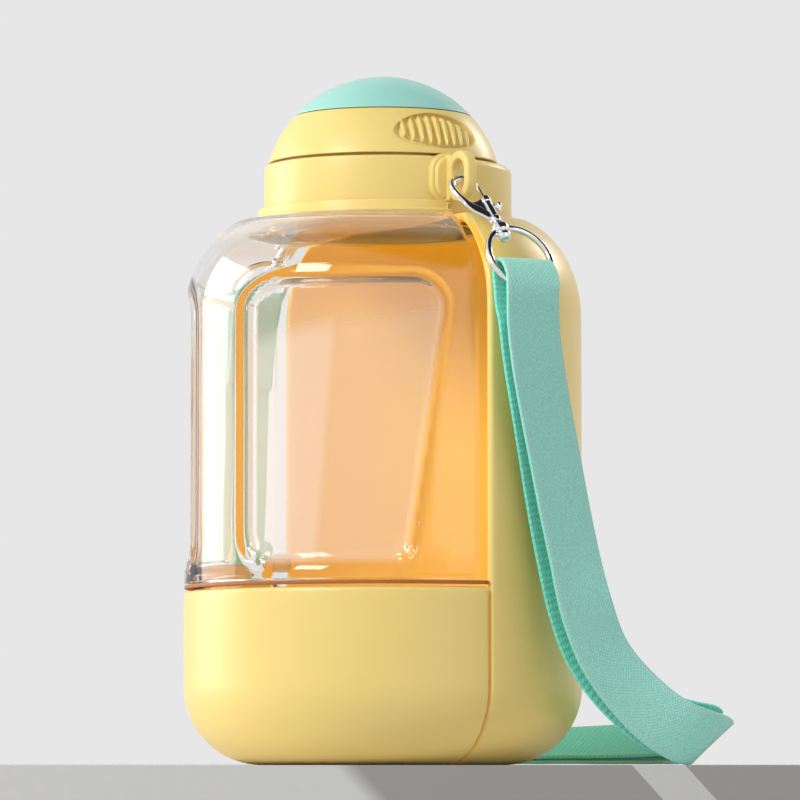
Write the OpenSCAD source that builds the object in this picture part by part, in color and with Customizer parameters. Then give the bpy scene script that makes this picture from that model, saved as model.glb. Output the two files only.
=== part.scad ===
// Dog travel water bottle: a clear half-round flask in a base cup, a half shell behind it that
// comes off as the bowl, a screw cap with a flip lid, and a carrying strap on two snap hooks.
// The axis of the bottle is Z, the foot stands on Z = 0, the flask faces -X and the bowl +X.

/* [Body] */
// Radius of the round body, flask and bowl alike
body_r = 66.3; // [60:0.5:80]
// Height at which the wall starts to turn in to the shoulder
wall_top = 149; // [140:1:180]
// Radius of the round edge at the foot
foot_round = 26; // [18:1:30]
// Width of the shoulder's elliptic turn
shoulder_w = 27; // [20:1:30]
// Height of the shoulder's elliptic turn
shoulder_h = 34; // [34:0.5:40]
// Gap in the seam between the flask side and the bowl
seam_gap = 0.6; // [0.4:0.1:1.2]

/* [Flask] */
// Wall of the clear flask
tank_wall = 2.5; // [2:0.1:4]
// Height of the base cup's top edge
cup_top = 58; // [45:1:64]
// Wall of the base cup
cup_wall = 2.8; // [2:0.1:4]
// Thickness of the seal between cup and flask
seal_t = 1.2; // [0.8:0.1:2]
// Clearance between pieces that seat in each other
fit_gap = 0.3; // [0.2:0.05:0.5]

/* [Finger windows] */
// Direction of each window's middle, from the +X axis
window_dir = 130; // [120:1:140]
// Height of the window's lower edge
window_low = 65; // [62:1:80]
// Height of the window's upper edge
window_high = 157; // [130:1:160]
// Half width of the window at its top
window_half = 29; // [20:1:32]
// Half width on the seam side at the bottom
window_half_low = 18.5; // [12:0.5:28]
// Corner radius of the window
window_round = 9; // [5:1:12]
// Depth of the window's recess
window_deep = 2.6; // [1:0.1:4]

/* [Neck and collar] */
// Outer radius of the neck
neck_r = 33; // [28:0.5:34]
// Height of the neck's rim above the shoulder
neck_h = 19.9; // [18:0.1:20.4]
// Radius of the collar
collar_r = 39.8; // [38:0.1:42]
// Height of the collar
collar_h = 18.5; // [16:0.1:19]
// Wall of the collar
collar_wall = 3.3; // [2.5:0.1:4]
// Reach of the collar's block over the bowl
collar_block = 3.8; // [2:0.1:6]
// Radius of the flared flange under the collar
flange_r = 43.3; // [42:0.1:45]

/* [Strap eyes] */
// Distance of the eye's hole from the axis
eye_y = 48.5; // [47:0.5:52]
// Radius of the eye's hole
eye_hole_r = 3.5; // [3:0.1:4]
// Length of the straight part of the hole
eye_hole_h = 3.5; // [2:0.1:5]
// Width of the rim round the hole
eye_rim = 3.1; // [2:0.1:4]
// Thickness of the eye's plate
eye_t = 3.8; // [3:0.1:4.4]

/* [Bowl] */
// Wall of the bowl
bowl_wall = 2.6; // [2:0.1:4]

/* [Cap] */
// Radius of the dome
dome_r = 39.8; // [38.6:0.1:41]
// Height of the dome's top above the collar
dome_h = 30.3; // [28:0.1:34]
// Height of the yellow ring of the dome
ring_h = 15.7; // [14:0.1:17]
// Wall of the dome
dome_wall = 2.4; // [2:0.1:3]
// Gap under the dome's lip
cap_gap = 1; // [0.8:0.1:2]
// Outer radius of the pour spout
spout_r = 9; // [6:0.5:10]
// Distance of the spout from the axis
spout_x = 12; // [8:0.5:14]
// Radius of the lid's hinge pin
pin_r = 1; // [0.8:0.1:1.2]

/* [Finger grips] */
// Length of the oval grip
grip_w = 30; // [22:1:34]
// Height of the oval grip
grip_h = 13.5; // [9:0.5:15]
// Depth of the grip's recess
grip_deep = 1.3; // [0.6:0.1:1.6]
// Ribs in a grip
grip_ribs = 9; // [5:1:11]

/* [Snap hooks] */
// Radius of the hook's arc
hook_r = 4.4; // [4.2:0.1:5]
// Radius of the hook's wire
hook_wire = 1.25; // [1:0.05:1.3]
// Radius of the hook's barrel
barrel_r = 2.3; // [2:0.1:2.4]
// Radius of the gate's pin
gate_r = 0.8; // [0.6:0.05:0.9]
// Travel of the gate
gate_travel = 4.4; // [3:0.1:4.6]
// Radius of the swivel
swivel_r = 3; // [2.8:0.1:3.4]
// Radius of the ring, at the middle of its wire
ring_r = 11.6; // [11:0.1:13]
// Radius of the ring's wire
ring_wire = 1.1; // [0.9:0.05:1.2]
// Lean of the ring, outward from the vertical
ring_lean = 30; // [20:1:40]
// Place of the swivel round the ring, from its top
ring_turn = 21; // [0:1:30]

/* [Strap] */
// Width of the webbing
strap_w = 20; // [15:0.5:20]
// Thickness of the webbing
strap_t = 1.4; // [1:0.1:1.6]
// Thickness of the slider's frame
slider_t = 2.4; // [2:0.1:2.6]

/* [Hidden] */
$fn = 96;

yellow = "#f0da82";
mint = "#a8e6dc";
webbing = "#7cc9b5";
steel = "#c8ccd0";
clear = [0.93, 0.95, 0.97, 0.35];

far = 300;                                   // larger than the whole bottle, for cuts
shoulder_x = body_r - shoulder_w;            // where the shoulder's ellipse has its middle
shoulder_top = wall_top + shoulder_h - 2.4;    // flat top of the shoulder
foot_r = body_r - foot_round;                // flat part of the foot
lip_z = cup_top + seal_t + 2 * fit_gap;      // underside of the flask's flared lip
flask_inset = cup_wall + fit_gap;            // the flask's foot inside the cup's outer skin
half_seam = seam_gap / 2;
neck_wall = 2.6;
neck_low = shoulder_top - 10;                // underside of the neck where it stands over the bowl
neck_top = shoulder_top + neck_h;
collar_z = shoulder_top + 0.6;
collar_top = collar_z + collar_h;
collar_bore = collar_r - collar_wall;
flange_z = shoulder_top + 0.2;
flange_edge = 0.7;
flange_h = 4.2;
bowl_notch = collar_r + 2;                   // the bowl's top edge clears the neck and the collar's foot
dome_z = collar_top + dome_h - dome_r;       // middle of the dome's sphere
lip_low = collar_top + cap_gap;              // lower edge of the dome ring
lid_z = lip_low + ring_h;                    // parting plane of the flip lid
lid_r = sqrt(pow(dome_r, 2) - pow(lid_z - dome_z, 2));
sleeve_in = neck_r + 0.25;                   // the cap turns on the neck with this clearance
sleeve_out = sleeve_in + 2.3;
sleeve_low = collar_z + 6;
gasket_z = neck_top + 0.1;
gasket_t = 2.2;
deck_z = gasket_z + gasket_t + 0.1;
deck_t = 2.4;
spout_bore = spout_r - 2;
spout_low = deck_z - 3.5;
spout_top = deck_z + deck_t + 7;
pin_x = lid_r - 1.3;
pin_z = lid_z - 1.8;
knuckle_r = 1.9;
knuckle_half = 3.8;
ear_out = 8.3;
pin_fit = 0.05;

eye_z = collar_z + 11.1;
pad_r = 6.6;
pad_half = 1;
eye_out = eye_hole_r + eye_rim;
hole_low = eye_z - eye_hole_h / 2;
hole_high = eye_z + eye_hole_h / 2;
swivel_out = 0.5;                            // the swivel hangs this far inside the body's widest line
swivel_drop = 18.9;                          // and this far below the eye
swivel_at = [hook_r, swivel_out - body_r, eye_z - swivel_drop];    // where it holds the ring's wire
hook_dy = -eye_y - swivel_at[1];
hook_dz = eye_z - swivel_at[2];
hook_len = norm([hook_dy, hook_dz]);
hook_lean = atan2(hook_dy, hook_dz);
crown_low = 1.1;                             // the crown's line passes this far inside the hole's end
crown_z = hook_len - eye_hole_r + crown_low; // along the hook, from the swivel
arc_z = crown_z - hook_r;
barrel_low = 5;
barrel_high = 13.8;
gate_top = arc_z + 0.5;
gate_low = 11.4;
knob_z = 12.2;
spring_low = barrel_low + 0.9;

// ---- profiles, as X = radius and Y = height

// The body's outline from the axis to the skin, drawn inset by a wall
module body_profile(inset) {
    translate([0, inset])
        square([foot_r, wall_top - inset]);
    translate([0, foot_round])
        square([body_r - inset, wall_top - foot_round]);
    intersection() {
        translate([foot_r, foot_round])
            circle(r = foot_round - inset);
        translate([foot_r, 0])
            square([foot_round, foot_round]);
    }
    intersection() {
        translate([shoulder_x, wall_top])
            scale([(shoulder_w - inset) / 10, (shoulder_h - inset) / 10])
                circle(r = 10);
        translate([shoulder_x, wall_top])
            square([shoulder_w, shoulder_h]);
    }
    translate([0, wall_top])
        square([shoulder_x, shoulder_h - inset]);
}

// Everything below the given height
module below(z) {
    translate([0, -far])
        square([far, far + z]);
}

module above(z) {
    translate([0, z])
        square([far, far]);
}

// The flask's outline: the body above the lip, and a smaller foot that stands in the cup
module tank_profile(inset) {
    intersection() {
        body_profile(inset);
        above(lip_z + inset);
        below(shoulder_top - inset);
    }
    intersection() {
        body_profile(flask_inset + inset);
        below(lip_z + inset + 1);
    }
}

// Half of space on the flask's side of a plane across X
module flask_side(x) {
    translate([x - far, -far / 2, -far / 2])
        cube([far, far, 2 * far]);
}

module bowl_side(x) {
    translate([x, -far / 2, -far / 2])
        cube([far, far, 2 * far]);
}

function arc(c, r, a0, a1) =
    let (n = 6)
    [for (i = [0:n]) c + r * [cos(a0 + (a1 - a0) * i / n), sin(a0 + (a1 - a0) * i / n)]];

// A window's outline: X runs towards the flask's front, Y is the height; the seam side slants
module window_outline(grow) {
    r = window_round + grow;
    lo = window_low + window_round;
    hi = window_high - window_round;
    front = window_half - window_round;
    seam_hi = -window_half + window_round;
    seam_lo = -window_half_low + window_round;
    slant = atan2(seam_lo - seam_hi, hi - lo);
    polygon(concat(
        arc([front, hi], r, 0, 90),
        arc([seam_hi, hi], r, 90, 180 + slant),
        arc([seam_lo, lo], r, 180 + slant, 270),
        arc([front, lo], r, 270, 360)
    ));
}

// The outline carried along the radius through the wall, on the side that s gives (1 or -1)
module window_prism(s, grow) {
    rotate([0, 0, s * window_dir])
        rotate([90, 0, 90])
            linear_extrude(height = far / 2)
                scale([s, 1])
                    window_outline(grow);
}

module both_windows(r_in, grow) {
    difference() {
        union() {
            window_prism(1, grow);
            window_prism(-1, grow);
        }
        cylinder(r = r_in, h = far);
    }
}

module tank() {
    color(clear)
        difference() {
            union() {
                intersection() {
                    rotate_extrude()
                        tank_profile(0);
                    flask_side(-half_seam);
                }
                translate([0, 0, neck_low])
                    cylinder(r = neck_r, h = neck_top - neck_low);
            }
            both_windows(body_r - window_deep, 0);
            difference() {
                intersection() {
                    rotate_extrude()
                        tank_profile(tank_wall);
                    flask_side(-half_seam - tank_wall);
                }
                both_windows(body_r - window_deep - tank_wall, tank_wall);
            }
            translate([0, 0, neck_low + tank_wall])
                cylinder(r = neck_r - neck_wall, h = far);
        }
}

module base_cup() {
    color(yellow)
        intersection() {
            rotate_extrude()
                difference() {
                    intersection() {
                        body_profile(0);
                        below(cup_top);
                    }
                    body_profile(cup_wall);
                }
            flask_side(-half_seam);
        }
}

// The seal follows the cup's rim and shows as a thin line under the flask's lip
module base_seal() {
    color("#b5651d")
        intersection() {
            translate([0, 0, cup_top + fit_gap])
                difference() {
                    cylinder(r = body_r - 0.5, h = seal_t);
                    translate([0, 0, -1])
                        cylinder(r = body_r - cup_wall, h = seal_t + 2);
                }
            flask_side(-half_seam);
        }
}

module tank_flange() {
    color(yellow)
        difference() {
            rotate_extrude()
                difference() {
                    union() {
                        translate([0, flange_z])
                            square([flange_r - flange_edge, 2 * flange_edge]);
                        translate([flange_r - flange_edge, flange_z + flange_edge])
                            circle(r = flange_edge, $fn = 32);
                        translate([0, flange_z])
                            square([flange_r - 1.7, flange_h]);
                    }
                    square([collar_r + 0.15, far]);
                }
            bowl_side(-half_seam);
            pad_room();
        }
}

// A collar-shaped solid: round on the flask side, drawn out by the block on the bowl side
module drawn_ring(r, h, edge) {
    rotate_extrude()
        ring_section(r, h, 0.8);
    translate([collar_block, 0, 0])
        rotate_extrude()
            ring_section(r, h, edge);
    translate([0, -r, 0])
        cube([collar_block, 2 * r, h - edge]);
    translate([0, -r + edge, 0])
        cube([collar_block, 2 * (r - edge), h]);
    for (s = [-1, 1])
        translate([0, s * (r - edge), h - edge])
            rotate([0, 90, 0])
                cylinder(r = edge, h = collar_block, $fn = 48);
}

module ring_section(r, h, edge) {
    square([r, h - edge]);
    square([r - edge, h]);
    translate([r - edge, h - edge])
        circle(r = edge, $fn = 48);
}

// A slot shape in X and Y: two circles of radius r whose middles are lo and hi on Y
module slot(r, lo, hi) {
    translate([0, lo])
        circle(r = r, $fn = 48);
    translate([0, hi])
        circle(r = r, $fn = 48);
    translate([-r, lo])
        square([2 * r, hi - lo]);
}

module eye() {
    // oval pad on the collar, in two steps
    translate([0, -collar_r + 3, 0])
        rotate([90, 0, 0]) {
            linear_extrude(height = 4.6)
                slot(pad_r, eye_z - pad_half, eye_z + pad_half);
            linear_extrude(height = 5.8)
                slot(pad_r - 1.4, eye_z - pad_half, eye_z + pad_half);
        }
    // the eye's plate, which stands out from the pad
    translate([-eye_t / 2, 0, 0])
        rotate([90, 0, 90])
            linear_extrude(height = eye_t) {
                translate([-eye_y, 0])
                    slot(eye_out, hole_low, hole_high);
                translate([-eye_y, hole_low - eye_out])
                    square([eye_y - collar_r + 1, hole_high - hole_low + 2 * eye_out]);
            }
}

// Room for the eyes' pads in the pieces under the collar
module pad_room() {
    for (turn = [0, 180])
        rotate([0, 0, turn])
            translate([0, -collar_r + 3, 0])
                rotate([90, 0, 0])
                    linear_extrude(height = far)
                        slot(pad_r + 2 * fit_gap, eye_z - pad_half, eye_z + pad_half);
    translate([-eye_t / 2 - fit_gap, -far / 2, hole_low - eye_out - fit_gap])
        cube([eye_t + 2 * fit_gap, far, far]);
}

module eye_cut() {
    translate([-eye_t, 0, 0])
        rotate([90, 0, 90])
            linear_extrude(height = 2 * eye_t)
                translate([-eye_y, 0])
                    slot(eye_hole_r, hole_low, hole_high);
}

module collar() {
    color(yellow)
        difference() {
            union() {
                translate([0, 0, collar_z])
                    drawn_ring(collar_r, collar_h, 2.6);
                eye();
                rotate([0, 0, 180])
                    eye();
            }
            translate([0, 0, collar_z + 2.4])
                cylinder(r = collar_bore, h = far);
            translate([0, 0, collar_z - far / 2])
                cylinder(r = neck_r + 0.15, h = far);
            eye_cut();
            rotate([0, 0, 180])
                eye_cut();
        }
}

module bowl() {
    color(yellow)
        difference() {
            rotate_extrude()
                difference() {
                    intersection() {
                        body_profile(0);
                        below(shoulder_top);
                    }
                    body_profile(bowl_wall);
                    translate([0, wall_top])
                        square([bowl_notch, far]);
                }
            flask_side(half_seam);
            pad_room();
        }
}

module cap_gasket() {
    color("#e8e4da")
        translate([0, 0, gasket_z])
            difference() {
                cylinder(r = neck_r - 0.2, h = gasket_t);
                translate([0, 0, -1])
                    cylinder(r = neck_r - neck_wall + 0.2, h = gasket_t + 2);
            }
}

module cap_core() {
    color(yellow)
        difference() {
            union() {
                translate([0, 0, sleeve_low])
                    cylinder(r = sleeve_out, h = lip_low - sleeve_low);
                intersection() {
                    translate([0, 0, lip_low - 0.1])
                        cylinder(r = sleeve_out, h = deck_z + deck_t - lip_low + 0.1);
                    translate([0, 0, dome_z])
                        sphere(r = dome_r - dome_wall - 0.1);
                }
                translate([-spout_x, 0, spout_low])
                    cylinder(r = spout_r, h = spout_top - spout_low);
            }
            difference() {
                cylinder(r = sleeve_in, h = deck_z);
                translate([-spout_x, 0, spout_low])
                    cylinder(r = spout_r, h = far);
            }
            translate([-spout_x, 0, 0])
                cylinder(r = spout_bore, h = far);
        }
}

// A grip's frame of axes: X along the grip, Y up the dome, Z out of the surface
module at_grip(s) {
    tilt = asin((lip_low + ring_h * 0.42 - dome_z) / dome_r);
    translate([0, 0, dome_z])
        rotate([0, 0, s * 90])
            rotate([0, -tilt, 0])
                rotate([90, 0, 90])
                    children();
}

module grip_cut(s) {
    difference() {
        at_grip(s)
            scale([grip_w / 20, grip_h / 20, 1])
                cylinder(r = 10, h = far / 2);
        translate([0, 0, dome_z])
            sphere(r = dome_r - grip_deep);
    }
}

// A leaf with pointed ends, the part that two circles share
module leaf(len, w) {
    r = (pow(len, 2) + pow(w, 2)) / (4 * w);
    intersection() {
        translate([r - w / 2, 0])
            circle(r = r);
        translate([w / 2 - r, 0])
            circle(r = r);
    }
}

module grip_leaves(s) {
    pitch = grip_w * 0.8 / grip_ribs;
    intersection() {
        at_grip(s)
            for (i = [0:grip_ribs - 1]) {
                x = (i - (grip_ribs - 1) / 2) * pitch;
                len = grip_h * 0.86 * sqrt(1 - pow(2 * x / grip_w, 2));
                translate([x, 0, dome_r / 2])
                    rotate([0, 0, 14])
                        linear_extrude(height = dome_r)
                            leaf(len, pitch * 0.62);
            }
        translate([0, 0, dome_z])
            difference() {
                sphere(r = dome_r - 0.25);
                sphere(r = dome_r - dome_wall + 0.5);
            }
    }
}

// A slice of the dome's shell between two heights
module dome_slice(lo, hi) {
    intersection() {
        translate([0, 0, dome_z])
            difference() {
                sphere(r = dome_r);
                sphere(r = dome_r - dome_wall);
            }
        translate([-far / 2, -far / 2, lo])
            cube([far, far, hi - lo]);
    }
}

module along_y(r, half) {
    translate([pin_x, half, pin_z])
        rotate([90, 0, 0])
            cylinder(r = r, h = 2 * half, $fn = 48);
}

module cap_shell() {
    color(yellow)
        difference() {
            union() {
                difference() {
                    dome_slice(lip_low, lid_z);
                    grip_cut(1);
                    grip_cut(-1);
                }
                grip_leaves(1);
                grip_leaves(-1);
                // the ring inside the dome that holds the core's sleeve
                translate([0, 0, lip_low + 1])
                    difference() {
                        cylinder(r = dome_r - 3, h = 2);
                        translate([0, 0, -1])
                            cylinder(r = sleeve_out + 0.1, h = far);
                    }
                along_y(knuckle_r, ear_out);
            }
            // room between the ears for the lid's knuckle
            along_y(knuckle_r + 0.6, knuckle_half + fit_gap);
            translate([pin_x - 8, -knuckle_half - fit_gap, pin_z - 1])
                cube([far, 2 * (knuckle_half + fit_gap), far]);
            along_y(pin_r, far / 2);
        }
}

module lid_pin() {
    color(steel)
        along_y(pin_r - 0.02, ear_out - 0.4);
}

module flip_lid() {
    color(mint)
        difference() {
            union() {
                difference() {
                    dome_slice(lid_z + 0.3, dome_z + dome_r + 1);
                    // the lid stops short of the ears
                    translate([pin_x - 2.6, -ear_out - 0.4, 0])
                        cube([far, 2 * (ear_out + 0.4), far]);
                }
                along_y(knuckle_r, knuckle_half);
                translate([pin_x - 4.6, -knuckle_half, pin_z + 0.7])
                    cube([4.6, 2 * knuckle_half, knuckle_r - 0.6]);
                intersection() {
                    translate([pin_x - 4.6, -knuckle_half, pin_z + 0.7])
                        cube([2.4, 2 * knuckle_half, 6]);
                    translate([0, 0, dome_z])
                        sphere(r = dome_r);
                }
            }
            along_y(pin_r + pin_fit, far / 2);
            // dimple for a fingertip
            translate([-24, 0, dome_z + dome_r + 5.2])
                sphere(r = 11);
        }
}

module spout_plug() {
    color("#f4efe2")
        intersection() {
            translate([-spout_x, 0, 0]) {
                translate([0, 0, spout_top - 4])
                    cylinder(r1 = spout_bore - 1, r2 = spout_bore - 0.3, h = 4);
                translate([0, 0, spout_top])
                    cylinder(r = spout_bore - 0.3, h = 0.3);
                translate([0, 0, spout_top + 0.3])
                    cylinder(r = spout_bore + 1.2, h = 1.6);
                translate([0, 0, spout_top + 1.9])
                    cylinder(r = spout_bore - 2, h = far / 2);
            }
            translate([0, 0, dome_z])
                sphere(r = dome_r - dome_wall - 0.1);
        }
}

// ---- snap hooks: Z runs from the swivel up to the hook's crown, X across to the gate

module at_hook(side) {
    rotate([0, 0, side < 0 ? 0 : 180])
        translate(swivel_at)
            rotate([-hook_lean, 0, 0])
                children();
}

// A round bar between two points of the plane Y = 0
module bar(a, b, ra, rb) {
    d = b - a;
    translate([a[0], 0, a[1]])
        rotate([0, atan2(d[0], d[1]), 0])
            cylinder(r1 = ra, r2 = rb, h = norm(d), $fn = 32);
}

module hook(side) {
    arm = [-2 * hook_r, arc_z];
    elbow = [-2 * hook_r + 0.4, arc_z - 2.6];
    root = [-0.6, barrel_low + 3.5];
    color(steel)
        at_hook(side)
            difference() {
                union() {
                    translate([-hook_r, 0, arc_z])
                        rotate([90, 0, 0])
                            rotate([0, 0, 25])
                                rotate_extrude(angle = 155)
                                    translate([hook_r, 0])
                                        circle(r = hook_wire, $fn = 32);
                    bar(elbow, arm, hook_wire, hook_wire);
                    for (joint = [elbow, arm])
                        translate([joint[0], 0, joint[1]])
                            sphere(r = hook_wire + 0.04, $fn = 32);
                    bar(root, elbow, 2, hook_wire);
                    translate([0, 1.1, 0])
                        rotate([90, 0, 0])
                            linear_extrude(height = 2.2)
                                polygon([elbow + [0.6, -0.8], [0, barrel_high], [0, root[1]], root]);
                    translate([0, 0, barrel_low])
                        cylinder(r = barrel_r, h = barrel_high - barrel_low, $fn = 48);
                    // the post and its rivet head, held in the swivel
                    translate([0, 0, 2.3])
                        cylinder(r = 1.05, h = 3, $fn = 48);
                    translate([0, 0, 2.2])
                        cylinder(r = 1.7, h = 0.8, $fn = 48);
                }
                translate([0, 0, spring_low - 0.1])
                    cylinder(r = gate_r + 0.08, h = far, $fn = 48);
                translate([0, -0.75, knob_z - gate_travel - 1])
                    cube([2 * barrel_r, 1.5, gate_travel + 1.8]);
            }
}

module gate(side) {
    color(steel)
        at_hook(side) {
            translate([0, 0, gate_low])
                cylinder(r = gate_r, h = gate_top - gate_low, $fn = 48);
            translate([0, 0, knob_z])
                rotate([0, 90, 0]) {
                    cylinder(r = 0.6, h = barrel_r + 1.4, $fn = 32);
                    translate([0, 0, barrel_r + 0.9])
                        rotate_extrude()
                            ring_section(1.7, 1.4, 0.4);
                }
        }
}

// The spring's envelope, in the barrel's bore under the gate
module gate_spring(side) {
    color(steel)
        at_hook(side)
            translate([0, 0, spring_low])
                difference() {
                    cylinder(r = gate_r - 0.05, h = gate_low - spring_low - 0.1, $fn = 32);
                    translate([0, 0, -1])
                        cylinder(r = gate_r - 0.35, h = far, $fn = 32);
                }
}

module swivel(side) {
    color(steel)
        at_hook(side)
            difference() {
                union() {
                    translate([0, 0, -1.6])
                        cylinder(r = swivel_r, h = 6.3, $fn = 48);
                    translate([0, 0, -2.8])
                        cylinder(r = swivel_r - 0.9, h = 2, $fn = 48);
                }
                translate([0, 0, 3])
                    cylinder(r = 1.12, h = 4, $fn = 48);
                translate([0, 0, 2.05])
                    cylinder(r = 1.85, h = 1.1, $fn = 48);
                rotate([hook_lean - ring_lean, 0, 0])
                    rotate([0, -ring_turn, 0])
                        rotate([0, 90, 0])
                            translate([0, 0, -far / 2])
                                cylinder(r = ring_wire + 0.42, h = far, $fn = 48);
            }
}

module ring(side) {
    color(steel)
        rotate([0, 0, side < 0 ? 0 : 180])
            translate(swivel_at)
                rotate([-ring_lean, 0, 0])
                    translate([ring_r * sin(ring_turn), 0, -ring_r * cos(ring_turn)])
                        rotate([90, 0, 0])
                            rotate_extrude()
                                translate([ring_r, 0])
                                    circle(r = ring_wire, $fn = 32);
}

// ---- strap: each entry is a point of the webbing's middle line and the direction of its width

front_route = [
    [[8.5, -72.0, 162.7], [1, 0.02, 0]],
    [[8.5, -73.9, 163.0], [1, 0.02, 0]],
    [[8.5, -75.9, 161.8], [1, 0.02, 0]],
    [[8.4, -78.7, 157.6], [1, 0.02, 0]],
    [[7.6, -80.1, 152.4], [1, 0.02, 0]],
    [[8.4, -79.2, 142.0], [1, 0.03, 0]],
    [[10.6, -78.2, 130.0], [1, 0.04, 0]],
    [[14.0, -77.0, 116.8], [1, 0.05, 0]],
    [[18.2, -76.0, 101.0], [1, 0.05, 0]],
    [[22.0, -75.6, 85.2], [1, 0.05, 0]],
    [[25.8, -75.8, 69.2], [1, 0.05, 0.02]],
    [[29.4, -77.1, 52.8], [0.99, -0.02, 0.1]],
    [[34.6, -77.5, 39.3], [0.94, 0.01, 0.34]],
    [[39.8, -78.3, 31.0], [0.85, 0.01, 0.5]],
    [[46.4, -79.4, 23.6], [0.75, -0.04, 0.62]],
    [[54.6, -80.9, 16.2], [0.62, -0.14, 0.72]],
    [[62.4, -81.6, 11.6], [0.5, -0.24, 0.78]],
    [[70.6, -80.8, 8.6], [0.48, -0.29, 0.74]],
    [[78.7, -76.4, 7.2], [0.58, -0.24, 0.66]],
    [[85.5, -67.6, 6.4], [0.7, -0.12, 0.6]],
    [[90.9, -54.5, 5.8], [0.73, 0.08, 0.55]],
    [[94.2, -37.7, 5.4], [0.7, 0.34, 0.5]],
    [[94.5, -18.0, 5.0], [0.63, 0.55, 0.46]],
    [[91.0, 2.9, 4.8], [0.55, 0.67, 0.44]],
    [[82.9, 24.3, 4.6], [0.5, 0.72, 0.42]],
    [[73.0, 44.5, 4.2], [0.47, 0.77, 0.38]],
    [[62.0, 62.9, 3.2], [0.49, 0.8, 0.26]],
    [[45.0, 84.8, 1.1], [0.2, 1, 0.01]],
    [[35.0, 88.0, 0.95], [0, 1, 0]],
    [[30.4, 88.0, 0.95], [0, 1, 0]],
    [[26.4, 88.0, 1.15], [0, 1, 0]],
    [[23.0, 88.0, 5.0], [0, 1, 0]],
    [[20.0, 88.0, 5.8], [0, 1, 0]],
    [[17.0, 88.0, 5.0], [0, 1, 0]],
    [[13.6, 88.0, 1.15], [0, 1, 0]],
    [[9.6, 88.0, 0.95], [0, 1, 0]],
    [[4.0, 88.6, 2.0], [0.2, 1, 0.06]],
    [[-1.6, 89.4, 5.4], [0.5, 1, 0.3]],
    [[-5.8, 88.8, 11.0], [0.8, 0.8, 0.4]],
    [[-8.8, 86.6, 20.0], [1, 0.5, 0.3]],
    [[-10.4, 83.4, 36.0], [1, 0.26, 0.08]],
    [[-10.8, 81.0, 60.0], [1, 0.14, 0]],
    [[-10.4, 80.2, 90.0], [1, 0.06, 0]],
    [[-9.6, 80.0, 122.0], [1, 0.02, 0]],
    [[-9.0, 79.6, 142.0], [1, 0.02, 0]],
    [[-8.6, 80.1, 152.4], [1, 0.02, 0]],
    [[-8.5, 78.7, 157.6], [1, 0.02, 0]],
    [[-8.5, 75.9, 161.8], [1, 0.02, 0]],
    [[-8.5, 73.9, 163.0], [1, 0.02, 0]],
    [[-8.5, 71.7, 162.6], [1, 0.02, 0]],
    [[-8.5, 70.9, 161.0], [1, 0.02, 0]],
    [[-8.5, 71.4, 157.0], [1, 0.02, 0]],
    [[-8.5, 74.2, 150.0], [1, 0.02, 0]],
    [[-8.5, 76.8, 143.0], [1, 0.02, 0]],
    [[-9.4, 77.8, 130.0], [1, 0.02, 0]]
];
// the back layer: from the top of the fold, round inside the ring, then this far behind the front
back_start = [
    [[8.5, -71.3, 162.1], [1, 0.02, 0]],
    [[8.5, -70.4, 161.0], [1, 0.02, 0]],
    [[8.5, -70.2, 158.4], [1, 0.02, 0]],
    [[8.4, -71.2, 153.6], [1, 0.02, 0]],
    [[8.0, -72.8, 147.4], [1, 0.02, 0]]
];
back_gap = [
    5.0, 4.6, 4.6, 5.4, 6.2, 6.8, 7.2, 7.0, 6.4, 6.0, 6.0, 6.2,
    6.0, 5.6, 5.0, 4.2, 3.4, 2.8, 2.4, 2.1, 1.9, 1.9, 1.9, 1.9, 2.1
];
back_from = 5;                               // the front route's point where those gaps start
slider_at = [20, 88];
slider_pitch = 8.4;
slider_bar = 2.6;
slider_low = 2;
ground_gap = 0.1;

// Corners of the webbing's cross-section, as shares of width and thickness
strap_corners = [
    [0.5, -0.2], [0.5, 0.2], [0.47, 0.5], [-0.47, 0.5],
    [-0.5, 0.2], [-0.5, -0.2], [-0.47, -0.5], [0.47, -0.5]
];

function unit(v) = v / norm(v);
function spot(route, i) = route[i][0];
function along(route, i) =
    let (n = len(route) - 1)
    unit(spot(route, min(i + 1, n)) - spot(route, max(i - 1, 0)));
function across(route, i) =
    let (t = along(route, i), w = route[i][1])
    unit(w - (w * t) * t);
function facing(route, i) = cross(along(route, i), across(route, i));

module ribbon(route) {
    k = len(strap_corners);
    n = len(route);
    points = [
        for (i = [0:n - 1], c = strap_corners)
            spot(route, i) + strap_w * c[0] * across(route, i) + strap_t * c[1] * facing(route, i)
    ];
    sides = [
        for (i = [0:n - 2], j = [0:k - 1], half = [0, 1])
            let (a = i * k + j, b = i * k + (j + 1) % k)
            half == 0 ? [a, b, b + k] : [a, b + k, a + k]
    ];
    ends = [
        for (j = [1:k - 2], e = [0, 1])
            e == 0 ? [0, j + 1, j] : [(n - 1) * k, (n - 1) * k + j, (n - 1) * k + j + 1]
    ];
    polyhedron(points = points, faces = concat(sides, ends), convexity = 10);
}

// The route with each point high enough for the webbing's lower edge to clear the ground
function lifted(route) = [
    for (i = [0:len(route) - 1])
        let (
            p = spot(route, i),
            reach = strap_w * abs(across(route, i)[2]) + strap_t * abs(facing(route, i)[2])
        )
        [[p[0], p[1], max(p[2], reach / 2 + ground_gap)], route[i][1]]
];
strap_route = lifted(lifted(front_route));

module strap_front() {
    color(webbing)
        ribbon(strap_route);
}

module strap_back() {
    behind = [
        for (i = [0:len(back_gap) - 1])
            let (k = i + back_from)
            [spot(strap_route, k) - back_gap[i] * facing(strap_route, k), strap_route[k][1]]
    ];
    bar_end = slider_at[0] + slider_pitch + slider_bar / 2 + 0.4;
    finish = [[[bar_end, slider_at[1], slider_low + slider_t / 2], [0, 1, 0]]];
    color("#4fc7a6")
        ribbon(concat(back_start, behind, finish));
}

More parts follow.
